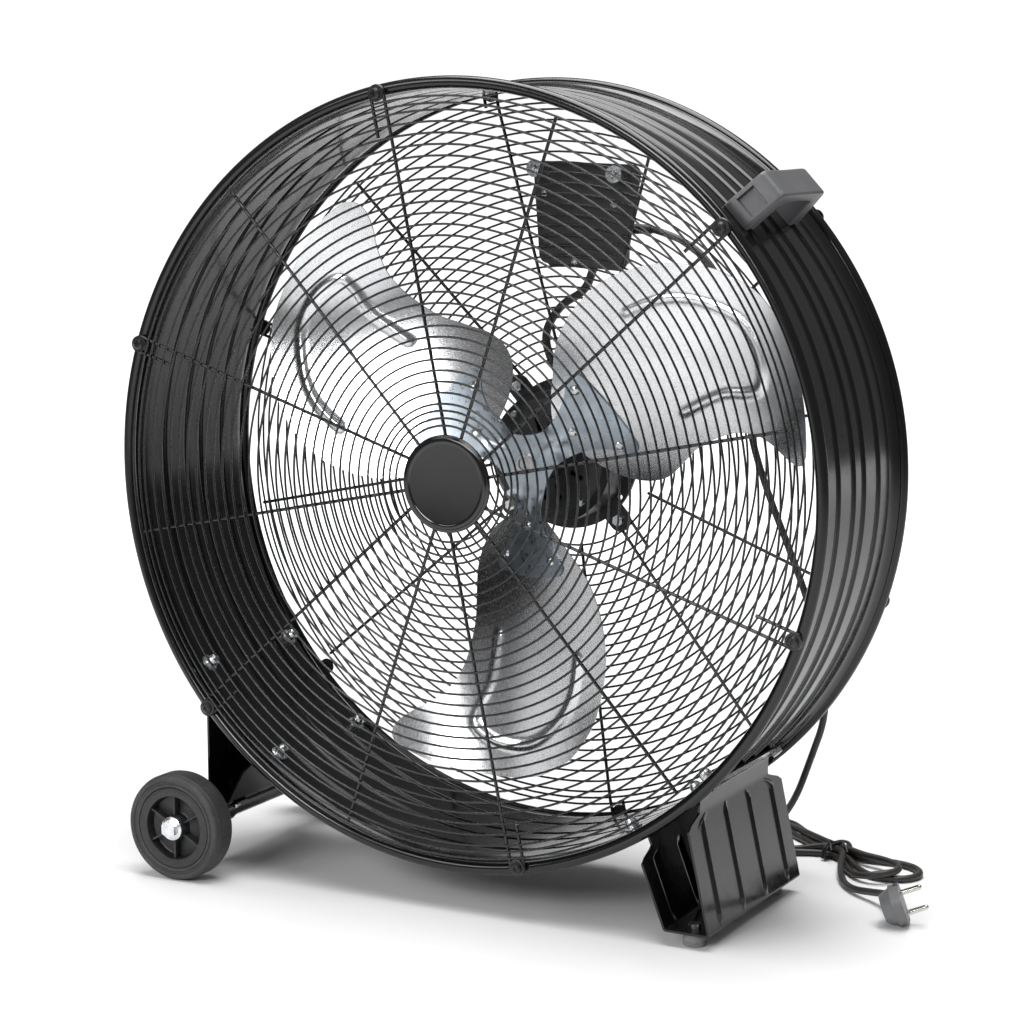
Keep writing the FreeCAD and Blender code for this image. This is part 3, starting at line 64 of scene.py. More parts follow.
# ---------------------------------------------------------------- camera
CAMERA_AT = (1109.5, -2057.1, 324.1)
YAW, PITCH, ROLL = 28.15, -8.828, -0.102
LENS = 91.92


def make_camera():
    yaw, pitch, roll = (math.radians(a) for a in (YAW, PITCH, ROLL))
    forward = Vector((-math.sin(yaw) * math.cos(pitch), math.cos(yaw) * math.cos(pitch), math.sin(pitch)))
    right = Vector((math.cos(yaw), math.sin(yaw), 0.0))
    up = right.cross(forward)
    r = right * math.cos(roll) + up * math.sin(roll)
    u = up * math.cos(roll) - right * math.sin(roll)
    data = bpy.data.cameras.new("camera")
    data.lens = LENS
    data.sensor_width = 36.0
    data.clip_end = 60.0
    cam = bpy.data.objects.new("camera", data)
    bpy.context.scene.collection.objects.link(cam)
    rot = Matrix((r, u, -forward)).transposed().to_4x4()
    cam.matrix_world = Matrix.Translation(place(*CAMERA_AT)) @ rot
    bpy.context.scene.camera = cam


make_camera()


# ---------------------------------------------------------------- materials
class Nodes:
    """A Principled material with helpers for the noise that breaks up each surface."""

    def __init__(self, name, colour, rough, metallic=0.0, **sockets):
        self.mat = bpy.data.materials.new(name)
        self.mat.use_nodes = True
        self.mat.diffuse_color = (*colour, 1.0)
        self.tree = self.mat.node_tree
        self.shader = self.tree.nodes["Principled BSDF"]
        self.set("Metallic", metallic)
        for key, value in sockets.items():
            self.set(key.replace("_", " "), value)
        self.coords = self.tree.nodes.new("ShaderNodeTexCoord").outputs["Object"]

    def set(self, socket, value):
        self.shader.inputs[socket].default_value = value

    def link(self, a, b):
        self.tree.links.new(a, b)

    def noise(self, scale, detail=4.0, stretch=None, coords=None):
        node = self.tree.nodes.new("ShaderNodeTexNoise")
        node.inputs["Scale"].default_value = scale
        node.inputs["Detail"].default_value = detail
        source = coords or self.coords
        if stretch:
            mapping = self.tree.nodes.new("ShaderNodeMapping")
            mapping.inputs["Scale"].default_value = stretch
            self.link(source, mapping.inputs["Vector"])
            source = mapping.outputs["Vector"]
        self.link(source, node.inputs["Vector"])
        return node.outputs["Fac"]

    def spread(self, fac, low, high, start=0.3, end=0.7):
        node = self.tree.nodes.new("ShaderNodeMapRange")
        node.inputs["From Min"].default_value = start
        node.inputs["From Max"].default_value = end
        node.inputs["To Min"].default_value = low
        node.inputs["To Max"].default_value = high
        self.link(fac, node.inputs["Value"])
        return node.outputs["Result"]

    def mix(self, fac, a, b):
        node = self.tree.nodes.new("ShaderNodeMix")
        node.data_type = "RGBA"
        self.link(fac, node.inputs["Factor"])
        for socket, value in (("A", a), ("B", b)):
            target = [i for i in node.inputs if i.name == socket and i.type == "RGBA"][0]
            if isinstance(value, tuple):
                target.default_value = (*value, 1.0)
            else:
                self.link(value, target)
        return [o for o in node.outputs if o.type == "RGBA"][0]

    def bump(self, height, strength, distance, normal=None):
        node = self.tree.nodes.new("ShaderNodeBump")
        node.inputs["Strength"].default_value = strength
        node.inputs["Distance"].default_value = distance
        self.link(height, node.inputs["Height"])
        if normal:
            self.link(normal, node.inputs["Normal"])
        return node.outputs["Normal"]


def finish_of(name, colour, rough, metallic=0.0, tone=0.25, patch=14.0, grain=900.0, depth=0.00004,
              strength=0.3, spread=0.06, dust=0.0, dust_colour=(0.22, 0.21, 0.2), stretch=None, **sockets):
    """Colour patches, uneven roughness, fine grain bump and a little dust, all from noise."""
    n = Nodes(name, colour, rough, metallic, **sockets)
    dark = tuple(c * (1.0 - tone) for c in colour)
    light = tuple(min(1.0, c * (1.0 + tone) + 0.002) for c in colour)
    patches = n.noise(patch, 5.0)
    base = n.mix(n.spread(patches, 0.0, 1.0), dark, light)
    if dust:
        specks = n.spread(n.noise(patch * 9.0, 8.0), 0.0, dust, 0.5, 0.75)
        base = n.mix(specks, base, dust_colour)
    n.link(base, n.shader.inputs["Base Color"])
    streaks = n.noise(grain * 0.25, 3.0, stretch)
    n.link(n.spread(streaks, max(0.02, rough - spread), rough + spread), n.shader.inputs["Roughness"])
    n.link(n.bump(n.noise(grain, 3.0, stretch), strength, depth), n.shader.inputs["Normal"])
    return n.mat


def blade_metal():
    """Rolled aluminium: streaks run along each blade's own U, with faint handling marks."""
    n = Nodes("rolled_aluminium", (0.8, 0.81, 0.83), 0.25, 1.0)
    uv = n.tree.nodes.new("ShaderNodeUVMap")
    uv.uv_map = "sheet"
    streak = n.noise(60.0, 6.0, (0.35, 9.0, 1.0), uv.outputs["UV"])
    cloud = n.noise(7.0, 4.0)
    base = n.mix(n.spread(cloud, 0.0, 1.0), (0.66, 0.67, 0.69), (0.86, 0.87, 0.88))
    streaked = n.mix(n.spread(streak, 0.0, 0.35, 0.35, 0.7), base, (0.5, 0.51, 0.53))
    n.link(streaked, n.shader.inputs["Base Color"])
    n.link(n.spread(streak, 0.17, 0.3), n.shader.inputs["Roughness"])
    first = n.bump(streak, 0.12, 0.00003)
    n.link(n.bump(n.noise(38.0, 3.0), 0.1, 0.0006, first), n.shader.inputs["Normal"])
    return n.mat


def lamination():
    """Stacked dark steel sheets seen edge on."""
    n = Nodes("laminated_steel", (0.12, 0.12, 0.13), 0.45, 0.8)
    wave = n.tree.nodes.new("ShaderNodeTexWave")
    wave.bands_direction = "Y"
    wave.inputs["Scale"].default_value = 320.0
    n.link(n.coords, wave.inputs["Vector"])
    n.link(n.mix(wave.outputs["Fac"], (0.07, 0.07, 0.075), (0.2, 0.2, 0.21)), n.shader.inputs["Base Color"])
    n.link(n.spread(n.noise(90.0), 0.35, 0.55), n.shader.inputs["Roughness"])
    n.link(n.bump(wave.outputs["Fac"], 0.4, 0.0002), n.shader.inputs["Normal"])
    return n.mat


def copper_winding():
    n = Nodes("varnished_copper", (0.4, 0.17, 0.07), 0.35, 0.9)
    wave = n.tree.nodes.new("ShaderNodeTexWave")
    wave.wave_type = "RINGS"
    wave.rings_direction = "Y"
    wave.inputs["Scale"].default_value = 260.0
    wave.inputs["Distortion"].default_value = 2.0
    n.link(n.coords, wave.inputs["Vector"])
    n.link(n.mix(wave.outputs["Fac"], (0.22, 0.08, 0.03), (0.55, 0.26, 0.11)), n.shader.inputs["Base Color"])
    n.link(n.spread(n.noise(120.0), 0.25, 0.5), n.shader.inputs["Roughness"])
    n.link(n.bump(wave.outputs["Fac"], 0.6, 0.0003), n.shader.inputs["Normal"])
    return n.mat


def earth_sheath():
    """Green and yellow stripes along the earth wire."""
    n = Nodes("earth_sheath", (0.6, 0.6, 0.05), 0.4)
    wave = n.tree.nodes.new("ShaderNodeTexWave")
    wave.bands_direction = "X"
    wave.inputs["Scale"].default_value = 40.0
    n.link(n.coords, wave.inputs["Vector"])
    stripes = n.spread(wave.outputs["Fac"], 0.0, 1.0, 0.45, 0.55)
    n.link(n.mix(stripes, (0.78, 0.72, 0.04), (0.1, 0.32, 0.06)), n.shader.inputs["Base Color"])
    n.link(n.spread(n.noise(200.0), 0.3, 0.5), n.shader.inputs["Roughness"])
    return n.mat


MAT = {
    "drum_paint": finish_of(
        "gloss_black_enamel", (0.004, 0.004, 0.0043), 0.17, grain=420.0, depth=0.00012, strength=0.2,
        patch=9.0, spread=0.035, dust=0.03, dust_colour=(0.03, 0.03, 0.03), Coat_Weight=0.08,
        Coat_Roughness=0.05, Specular_IOR_Level=0.4),
    "wire_paint": finish_of(
        "black_coated_wire", (0.005, 0.005, 0.0053), 0.25, grain=1500.0, depth=0.00005, patch=30.0,
        dust=0.05, dust_colour=(0.03, 0.03, 0.03), Coat_Weight=0.1, Coat_Roughness=0.12),
    "black_screw": finish_of("black_oxide_screw", (0.03, 0.03, 0.031), 0.3, 0.6, grain=1800.0, patch=160.0),
    "cap_gloss": finish_of(
        "gloss_moulded_cap", (0.004, 0.004, 0.0043), 0.1, grain=260.0, depth=0.00005, strength=0.12,
        patch=30.0, spread=0.03, Coat_Weight=0.2, Coat_Roughness=0.03),
    "zinc": finish_of(
        "bright_zinc", (0.66, 0.68, 0.7), 0.26, 1.0, tone=0.16, patch=160.0, grain=1600.0, spread=0.1),
    "motor_paint": finish_of(
        "satin_motor_black", (0.012, 0.012, 0.013), 0.38, grain=1100.0, depth=0.0001, patch=40.0,
        strength=0.4, dust=0.08),
    "lamination": lamination(),
    "copper": copper_winding(),
    "steel": finish_of(
        "ground_steel", (0.5, 0.5, 0.52), 0.3, 1.0, tone=0.12, patch=80.0, grain=1400.0,
        stretch=(1.0, 6.0, 1.0)),
    "spider_zinc": finish_of(
        "blue_zinc_sheet", (0.4, 0.45, 0.5), 0.34, 1.0, tone=0.18, patch=45.0, grain=900.0, spread=0.1,
        depth=0.00008),
    "blade_metal": blade_metal(),
    "panel_paint": finish_of(
        "satin_panel_black", (0.012, 0.012, 0.013), 0.42, grain=1300.0, depth=0.00012, strength=0.4,
        patch=30.0, dust=0.06),
    "box_plastic": finish_of(
        "textured_black_plastic", (0.016, 0.016, 0.017), 0.5, grain=1700.0, depth=0.00018, strength=0.5,
        patch=25.0, dust=0.06),
    "handle_plastic": finish_of(
        "grained_grey_plastic", (0.085, 0.086, 0.09), 0.45, grain=2100.0, depth=0.0002, strength=0.5,
        patch=28.0, tone=0.14, spread=0.07),
    "foot_rubber": finish_of(
        "grey_rubber", (0.2, 0.2, 0.2), 0.62, grain=900.0, depth=0.0002, patch=70.0, tone=0.2),
    "wheel_plastic": finish_of(
        "black_wheel_plastic", (0.012, 0.012, 0.013), 0.42, grain=1500.0, depth=0.00012, patch=60.0,
        dust=0.1),
    "tyre_rubber": finish_of(
        "grey_black_tyre", (0.03, 0.03, 0.031), 0.62, grain=1000.0, depth=0.00025, strength=0.5, patch=40.0,
        tone=0.3, dust=0.3, dust_colour=(0.1, 0.1, 0.098)),
    "cord_sheath": finish_of(
        "cord_sheath", (0.022, 0.02, 0.018), 0.45, grain=1300.0, depth=0.0001, patch=60.0, tone=0.25,
        dust=0.12, dust_colour=(0.08, 0.07, 0.06)),
    "tie_band": finish_of("tie_band", (0.014, 0.014, 0.014), 0.4, grain=1500.0, depth=0.00015, patch=120.0),
    "plug_plastic": finish_of(
        "moulded_plug", (0.14, 0.143, 0.148), 0.42, grain=1500.0, depth=0.00012, patch=60.0, tone=0.15),
    "pin_nickel": finish_of("nickel_pin", (0.62, 0.6, 0.55), 0.2, 1.0, tone=0.1, patch=200.0, grain=1800.0),
    "earth_sheath": earth_sheath(),
}

SLOT_OF = {entry["node"]: entry["material_slot"] for entry in frame["record"]["subparts"]}
for node_name, node_object in frame["nodes"].items():
    node_object.data.materials.clear()
    node_object.data.materials.append(MAT[SLOT_OF[node_name]])


# ---------------------------------------------------------------- mesh helpers
def add_mesh(name, verts, faces, slot_name, body, *nodes, smooth=38.0):
    """verts in drum-frame millimetres; rides on body and stands for the CAD nodes given."""
    mesh = bpy.data.meshes.new(name)
    mesh.from_pydata([place(*v) for v in verts], [], faces)
    mesh.validate()
    bm = bmesh.new()
    bm.from_mesh(mesh)
    bmesh.ops.remove_doubles(bm, verts=bm.verts, dist=1e-7)
    bmesh.ops.recalc_face_normals(bm, faces=bm.faces)
    bm.to_mesh(mesh)
    bm.free()
    mesh.polygons.foreach_set("use_smooth", [True] * len(mesh.polygons))
    mesh.set_sharp_from_angle(angle=math.radians(smooth))
    mesh.materials.append(MAT[slot_name])
    obj = bpy.data.objects.new(name, mesh)
    bpy.context.scene.collection.objects.link(obj)
    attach(obj, body)
    if nodes:
        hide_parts(*nodes)
    return obj


class Build:
    """Collects several closed shapes into one list of vertices and faces."""

    def __init__(self):
        self.verts = []
        self.faces = []

    def add(self, verts, faces):
        start = len(self.verts)
        self.verts += [tuple(v) for v in verts]
        self.faces += [tuple(i + start for i in f) for f in faces]

    def lathe(self, profile, x=0.0, z=0.0, seg=96, closed=True):
        """Revolve (radius, y) points about a Y line; a zero radius closes to a point."""
        verts = []
        for k in range(seg):
            c, s = math.cos(2 * math.pi * k / seg), math.sin(2 * math.pi * k / seg)
            verts += [(x + r * c, y, z + r * s) for r, y in profile]
        n = len(profile)
        faces = []
        for k in range(seg):
            a, b = k * n, (k + 1) % seg * n
            for i in range(n if closed else n - 1):
                j = (i + 1) % n
                faces.append((a + i, a + j, b + j, b + i))
        self.add(verts, faces)

    def tube(self, points, radius, closed=False, sides=10, ends=True):
        """Round bar along points, closed with flat caps when open and ends is set; radius may be a list."""
        pts = [Vector(p) for p in points]
        n = len(pts)
        radii = radius if isinstance(radius, list) else [radius] * n
        side = None
        rings = []
        for i in range(n):
            before = pts[i - 1] if (closed or i) else pts[0]
            after = pts[(i + 1) % n] if (closed or i < n - 1) else pts[-1]
            way = (after - before).normalized()
            if side is None:
                side = way.orthogonal().normalized()
                if abs(way.y) < 0.9:
                    side = way.cross(Vector((0, 1, 0))).normalized()
            side = (side - way * side.dot(way)).normalized()
            other = way.cross(side)
            rings.append([pts[i] + (side * math.cos(a) + other * math.sin(a)) * radii[i]
                          for a in (2 * math.pi * k / sides for k in range(sides))])
        verts = [v for ring in rings for v in ring]
        faces = []
        for i in range(n if closed else n - 1):
            a, b = i * sides, (i + 1) % n * sides
            for k in range(sides):
                m = (k + 1) % sides
                faces.append((a + k, a + m, b + m, b + k))
        if not closed and ends:
            faces.append(tuple(range(sides))[::-1])
            faces.append(tuple(range((n - 1) * sides, n * sides)))
        self.add(verts, faces)


def turn_point(p, angle, about=(0.0, 0.0)):
    """Turn a point about a Y line; a positive angle goes from +X towards +Z."""
    c, s = math.cos(math.radians(angle)), math.sin(math.radians(angle))
    x, z = p[0] - about[0], p[2] - about[1]
    return about[0] + x * c - z * s, p[1], about[1] + x * s + z * c


def arc(cx, cy, radius, first, last, count):
    """Points (cx + r cos, cy + r sin) from one angle to another, in degrees."""
    angles = [math.radians(first + (last - first) * k / (count - 1)) for k in range(count)]
    return [(cx + radius * math.cos(a), cy + radius * math.sin(a)) for a in angles]


def smooth_closed(points, per=8):
    """Catmull-Rom loop through 2D points."""
    n = len(points)
    result = []
    for i in range(n):
        p0, p1, p2, p3 = (Vector(points[(i + k) % n]) for k in (-1, 0, 1, 2))
        for k in range(per):
            t = k / per
            result.append(0.5 * ((2 * p1) + (p2 - p0) * t + (2 * p0 - 5 * p1 + 4 * p2 - p3) * t * t
                                 + (3 * p1 - p0 - 3 * p2 + p3) * t ** 3))
    return result


def smooth_open(points, per=8):
    """Catmull-Rom curve through points of any dimension."""
    result = []
    last = len(points) - 1
    for i in range(last):
        p0, p1, p2, p3 = (Vector(points[min(max(i + k, 0), last)]) for k in (-1, 0, 1, 2))
        for k in range(per):
            t = k / per
            result.append(0.5 * ((2 * p1) + (p2 - p0) * t + (2 * p0 - 5 * p1 + 4 * p2 - p3) * t * t
                                 + (3 * p1 - p0 - 3 * p2 + p3) * t ** 3))
    return result + [Vector(points[-1])]


def segment_distance(p, line):
    best = 1e9
    for a, b in zip(line, line[1:]):
        d = b - a
        t = min(max((p - a).dot(d) / d.length_squared, 0.0), 1.0)
        best = min(best, (p - a - d * t).length)
    return best


def flat_cut(outline, spacing):
    """Triangulated inside of an outline, with grid points inside; returns points and triangles."""
    n = len(outline)
    us = [p[0] for p in outline]
    vs = [p[1] for p in outline]
    rim = [Vector(p) for p in outline]
    points = list(rim)
    rows = int((max(vs) - min(vs)) / (spacing * 0.866)) + 1
    loop = rim + rim[:1]
    for j in range(1, rows):
        v = min(vs) + j * spacing * 0.866
        cols = int((max(us) - min(us)) / spacing) + 1
        for i in range(cols):
            p = Vector((min(us) + (i + 0.5 * (j % 2)) * spacing, v))
            if segment_distance(p, loop) > spacing * 0.55:
                points.append(p)
    edges = [(i, (i + 1) % n) for i in range(n)]
    verts, _, faces, _, _, _ = delaunay_2d_cdt(points, edges, [], 1, 1e-4)
    return verts, [tuple(f) for f in faces]


def sheet_solid(verts, faces, front, back):
    """Closed thin solid from a flat cut: front(p) and back(p) give the two 3D faces."""
    n = len(verts)
    solid = [front(p) for p in verts] + [back(p) for p in verts]
    result = [tuple(f) for f in faces] + [tuple(n + i for i in reversed(f)) for f in faces]
    count = {}
    for f in faces:
        for a, b in zip(f, f[1:] + f[:1]):
            count[(a, b)] = count.get((a, b), 0) + 1
    for a, b in count:
        if (b, a) not in count:
            result.append((b, a, n + a, n + b))
    return solid, result


# ---------------------------------------------------------------- mains cord
# Points in metres from the drum's middle, in order from the strain relief to the plug.
LEAD = [
    (0.076, 0.150, 0.211), (0.112, 0.149, 0.203), (0.146, 0.146, 0.172), (0.164, 0.142, 0.124),
    (0.174, 0.140, 0.072), (0.183, 0.140, 0.020), (0.200, 0.140, -0.028), (0.222, 0.140, -0.078),
    (0.243, 0.140, -0.130), (0.257, 0.140, -0.180), (0.260, 0.141, -0.228), (0.243, 0.144, -0.274),
    (0.228, 0.152, -0.310), (0.206, 0.168, -0.340), (0.180, 0.190, -0.361), (0.150, 0.215, -0.372)]
FLOOR = -0.3814
OVER = -0.3746
HANK = [
    (0.124, 0.240, FLOOR), (0.122, 0.262, FLOOR), (0.136, 0.279, FLOOR), (0.158, 0.281, FLOOR),
    (0.175, 0.267, FLOOR), (0.200, 0.246, FLOOR), (0.232, 0.2229, FLOOR), (0.254, 0.2131, FLOOR),
    (0.2665, 0.1963, FLOOR), (0.2855, 0.172, FLOOR), (0.3056, 0.1613, FLOOR), (0.328, 0.167, FLOOR),
    (0.3384, 0.186, FLOOR), (0.328, 0.207, FLOOR), (0.306, 0.2155, FLOOR), (0.284, 0.2135, FLOOR),
    (0.271, 0.213, FLOOR), (0.2568, 0.2195, FLOOR), (0.2349, 0.2293, FLOOR), (0.208, 0.252, FLOOR),
    (0.184, 0.280, FLOOR), (0.162, 0.302, FLOOR), (0.130, 0.302, FLOOR), (0.104, 0.282, FLOOR),
    (0.096, 0.250, FLOOR), (0.112, 0.220, FLOOR), (0.144, 0.198, FLOOR), (0.196, 0.200, FLOOR),
    (0.2292, 0.2165, FLOOR), (0.2511, 0.2067, FLOOR), (0.260, 0.1916, FLOOR), (0.2748, 0.167, FLOOR),
    (0.2918, 0.1514, -0.379), (0.311, 0.1523, OVER), (0.3225, 0.1684, OVER), (0.316, 0.188, OVER),
    (0.296, 0.1987, OVER), (0.2745, 0.204, OVER), (0.2554, 0.2163, OVER), (0.2335, 0.2261, OVER),
    (0.206, 0.246, OVER), (0.180, 0.272, -0.378), (0.160, 0.291, FLOOR), (0.134, 0.290, FLOOR),
    (0.112, 0.272, FLOOR), (0.108, 0.246, FLOOR), (0.124, 0.222, FLOOR), (0.152, 0.206, FLOOR),
    (0.200, 0.209, FLOOR), (0.2306, 0.2197, OVER), (0.2525, 0.2099, OVER)]
TAIL = [
    (0.262, 0.182, OVER), (0.268, 0.162, -0.378), (0.280, 0.136, FLOOR), (0.298, 0.114, -0.3805),
    (0.322, 0.100, -0.376), (0.346, 0.082, -0.3695), (0.3559, 0.0567, -0.3682)]
CORD_DIAMETER = 0.0065


def make_cord():
    curve = bpy.data.curves.new("mains_cord", "CURVE")
    curve.dimensions = "3D"
    curve.bevel_depth = CORD_DIAMETER / 2.0
    curve.bevel_resolution = 5
    curve.resolution_u = 12
    curve.use_fill_caps = True
    spline = curve.splines.new("NURBS")
    points = LEAD + HANK + TAIL
    spline.points.add(len(points) - 1)
    for target, point in zip(spline.points, points):
        target.co = (*(ORIGIN + Vector(point)), 1.0)
    spline.order_u = 3
    spline.use_endpoint_u = True
    curve.materials.append(MAT["cord_sheath"])
    obj = bpy.data.objects.new("mains_cord", curve)
    bpy.context.scene.collection.objects.link(obj)
    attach(obj, "base")
    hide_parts("power_cord", "cord_tail", "cord_hank")
    return obj


def curve_length(obj):
    """Length of the spline that Blender draws, read from an unbevelled copy."""
    bare = obj.data.copy()
    bare.bevel_depth = 0.0
    probe = bpy.data.objects.new("probe", bare)
    mesh = bpy.data.meshes.new_from_object(probe)
    ends = [[mesh.vertices[i].co for i in edge.vertices] for edge in mesh.edges]
    total = sum((a - b).length for a, b in ends)
    bpy.data.objects.remove(probe)
    bpy.data.curves.remove(bare)
    bpy.data.meshes.remove(mesh)
    return total


TIE_LOOP = (
    (-15, -383.0), (-17.5, -379), (-15, -373.5), (-8, -370.6), (8, -370.6), (15, -373.5), (17.5, -379),
    (15, -383.0))


def make_tie():
    """Flat band wound round the hank's waist, with a twisted tail."""
    shape = Build()
    centre, along_x, along_y = (243.0, 218.0), 0.9135, -0.4067
    for turn in range(2):
        ring = []
        shift = turn * 3.4 - 1.7
        for y, z in smooth_closed(TIE_LOOP, 5):
            ring.append((centre[0] + along_x * shift - along_y * y,
                         centre[1] + along_y * shift + along_x * y, z))
        shape.tube(ring, 1.3, True, 8)
    for a, b in ((-6, 9), (7, 12)):
        x, y = centre
        shape.tube(smooth_open([(x + a * 0.2, y - 4, -370.5), (x + a, y - 7, -366.8),
                                (x + a + b * 0.5, y - 14, -367.5), (x + a + b, y - 22, -372)]), 0.9, False, 8)
    return add_mesh("hank_tie", shape.verts, shape.faces, "tie_band", "base", "cord_tie")


cord = make_cord()
tie = make_tie()
curve_length(cord)


# ---------------------------------------------------------------- drum
DRUM_R, SHEET = 340.0, 1.2
FLARE_R, FLAT_Y = 30, 72
DRUM_SEG = 320
RIM_R, RIM_Y, RIM_WIRE = 344.5, 94.3, 5.5
BEADS, BEAD_HALF, BEAD_RISE = (-47.0, -12.0, 12.0, 47.0), 4.0, 2.2


def drum_line(offset):
    """(radius, y) along the rolled sheet from the front flare to the rear one."""
    bend = FLARE_R + offset
    flare = [(DRUM_R + FLARE_R - bend * math.cos(t), FLAT_Y + bend * math.sin(t))
             for t in (math.radians(3 * k) for k in range(12))]
    middle = []
    steps = 288
    for k in range(1, steps):
        y = -FLAT_Y + 2 * FLAT_Y * k / steps
        near = min(abs(y - bead) for bead in BEADS)
        rise = BEAD_RISE * math.cos(math.pi / 2 * near / BEAD_HALF) ** 2 if near < BEAD_HALF else 0.0
        middle.append((DRUM_R - offset + rise, y))
    return [(r, -y) for r, y in reversed(flare)] + middle + flare


def make_drum():
    shape = Build()
    shape.lathe(drum_line(0.0) + drum_line(SHEET)[::-1], seg=DRUM_SEG)
    for side in (-1, 1):
        shape.lathe([(RIM_R + dr, side * RIM_Y + dy) for dr, dy in arc(0, 0, RIM_WIRE, 0, 345, 24)],
                    seg=DRUM_SEG)
    return add_mesh("drum", shape.verts, shape.faces, "drum_paint", "base", "drum_shell")


make_drum()


# ---------------------------------------------------------------- blades and spider
BLADE_ANGLES = (153.0, 33.0, -87.0)
BLADE_T = 1.5
BLADE_EDGE = (
    (47, 12), (60, 32), (75, 47), (99, 70), (129, 85), (165, 92), (190, 90), (215, 83), (236, 73),
    (252, 61), (267, 47), (278, 30), (287, 12), (291, -13), (289, -45), (283, -77), (277, -98), (268, -118),
    (259, -133), (250, -138), (241, -134), (232, -121), (224, -105), (212, -90), (196, -80), (176, -74),
    (150, -71), (125, -74), (100, -76), (77, -67), (60, -48), (50, -22))
BLADE_BEAD = (
    (161, -39), (204, -45), (228, -57), (243, -60), (255, -45), (261, -22), (257, 5), (234, 35), (207, 52),
    (174, 59))
BEAD_WIDE, BEAD_HIGH = 6.0, 2.6


def blade_y(u, v):
    far = u - 170.0
    return (35.0 - 0.298 * v - 0.0003 * v * v - 0.092 * far + 0.0021 * far * v - 0.00002 * far * v * v)


def make_blades():
    line = smooth_open(BLADE_BEAD, 8)
    edge = smooth_closed(BLADE_EDGE, 5)
    verts, faces = flat_cut(edge, 2.8)
    rise = {}
    for i, p in enumerate(verts):
        d = segment_distance(p, line)
        rise[i] = BEAD_HIGH * math.cos(math.pi / 2 * d / BEAD_WIDE) ** 2 if d < BEAD_WIDE else 0.0
    index = {tuple(p): i for i, p in enumerate(verts)}

    def front(p):
        return p[0], blade_y(p[0], p[1]) - rise[index[tuple(p)]], p[1]

    def back(p):
        return p[0], blade_y(p[0], p[1]) - rise[index[tuple(p)]] + BLADE_T, p[1]

    solid, cells = sheet_solid(verts, faces, front, back)
    for k, angle in enumerate(BLADE_ANGLES):
        name = "blade_%d" % (k + 1)
        turned = [turn_point(p, angle) for p in solid]
        obj = add_mesh("fan_" + name, turned, cells, "blade_metal", "fan", name, smooth=50)
        layer = obj.data.uv_layers.new(name="sheet")
        c, s = math.cos(math.radians(angle)), math.sin(math.radians(angle))
        for loop in obj.data.loops:
            p = (obj.data.vertices[loop.vertex_index].co - ORIGIN) * 10.0
            layer.data[loop.index].uv = (p.x * c + p.z * s + k, p.z * c - p.x * s)


SPIDER_ARM = (
    (13, -22.5), (26, -17), (42, -16), (60, -21), (75, -30), (85, -40), (93, -44), (100, -40), (103.5, -22),
    (104.5, 0), (103.5, 20), (101, 36), (95, 42), (87, 39.5), (75, 29.5), (60, 21), (42, 16), (26, 17),
    (13, 22.5))
SPIDER_T, SPIDER_Y = 2.0, 43.5


def spider_height(p):
    """Front face of the spider at (x, z): flat in the middle, then lying on the blades."""
    best = None
    for angle in BLADE_ANGLES:
        c, s = math.cos(math.radians(angle)), math.sin(math.radians(angle))
        u, v = p[0] * c + p[1] * s, p[1] * c - p[0] * s
        if best is None or u > best[0]:
            best = (u, v)
    u, v = best
    t = min(max((u - 24.0) / 22.0, 0.0), 1.0)
    t = t * t * (3 - 2 * t)
    lying = blade_y(u, v) - 2.3
    rib = 1.6 * math.cos(math.pi / 2 * min(abs(v) / 6.0, 1.0)) ** 2 * min(max((u - 20) / 12.0, 0.0), 1.0)
    rib *= min(max((52.0 - u) / 10.0, 0.0), 1.0)
    return SPIDER_Y + (lying - SPIDER_Y) * t - rib


def make_spider():
    outline = []
    for angle in sorted(BLADE_ANGLES):
        c, s = math.cos(math.radians(angle)), math.sin(math.radians(angle))
        outline += [(u * c - v * s, u * s + v * c) for u, v in SPIDER_ARM]
    verts, faces = flat_cut(smooth_closed(outline, 4), 2.6)

    def front(p):
        return p[0], spider_height(p), p[1]

    def back(p):
        return p[0], spider_height(p) + SPIDER_T, p[1]

    solid, cells = sheet_solid(verts, faces, front, back)
    add_mesh("spider", solid, cells, "spider_zinc", "fan", "fan_spider", smooth=50)


make_blades()
make_spider()


# ---------------------------------------------------------------- hub cap
def make_cap():
    shape = Build()
    face, back = -107.2, -103.3
    shape.lathe([
        (0.0, face + 0.5), (34.9, face + 0.5), (35.6, face + 0.45), (36.1, face + 0.25),
        (36.6, face + 0.05), (37.3, face), (38.8, face), (39.5, face + 0.15), (39.95, face + 0.6),
        (40.3, face + 1.2), (40.8, -105.72), (41.5, -105.72), (42.2, -105.55), (42.7, -105.1),
        (42.95, -104.5), (43.0, back - 0.5), (42.85, back - 0.15), (42.5, back), (41.2, back),
        (38.0, face + 2.8), (37.0, face + 2.2), (7.0, face + 2.2), (7.0, -100.2), (6.8, -100.0),
        (0.0, -100.0)], seg=160)
    add_mesh("cap", shape.verts, shape.faces, "cap_gloss", "base", "hub_cap", smooth=30)


make_cap()


# ---------------------------------------------------------------- wheels
WHEEL_X, WHEEL_Z = -273.0, -335.0


def mirror_y(shape):
    shape.verts = [(x, -y, z) for x, y, z in shape.verts]
    shape.faces = [tuple(reversed(f)) for f in shape.faces]


def rounded_box(size, offset, segments=2):
    """Bevelled box about its own middle; returns vertices and faces."""
    bm = bmesh.new()
    bmesh.ops.create_cube(bm, size=1.0)
    bmesh.ops.scale(bm, vec=size, verts=bm.verts)
    bmesh.ops.bevel(bm, geom=bm.edges[:], offset=offset, segments=segments, affect="EDGES", profile=0.5)
    bm.verts.index_update()
    verts = [tuple(v.co) for v in bm.verts]
    faces = [tuple(v.index for v in f.verts) for f in bm.faces]
    bm.free()
    return verts, faces


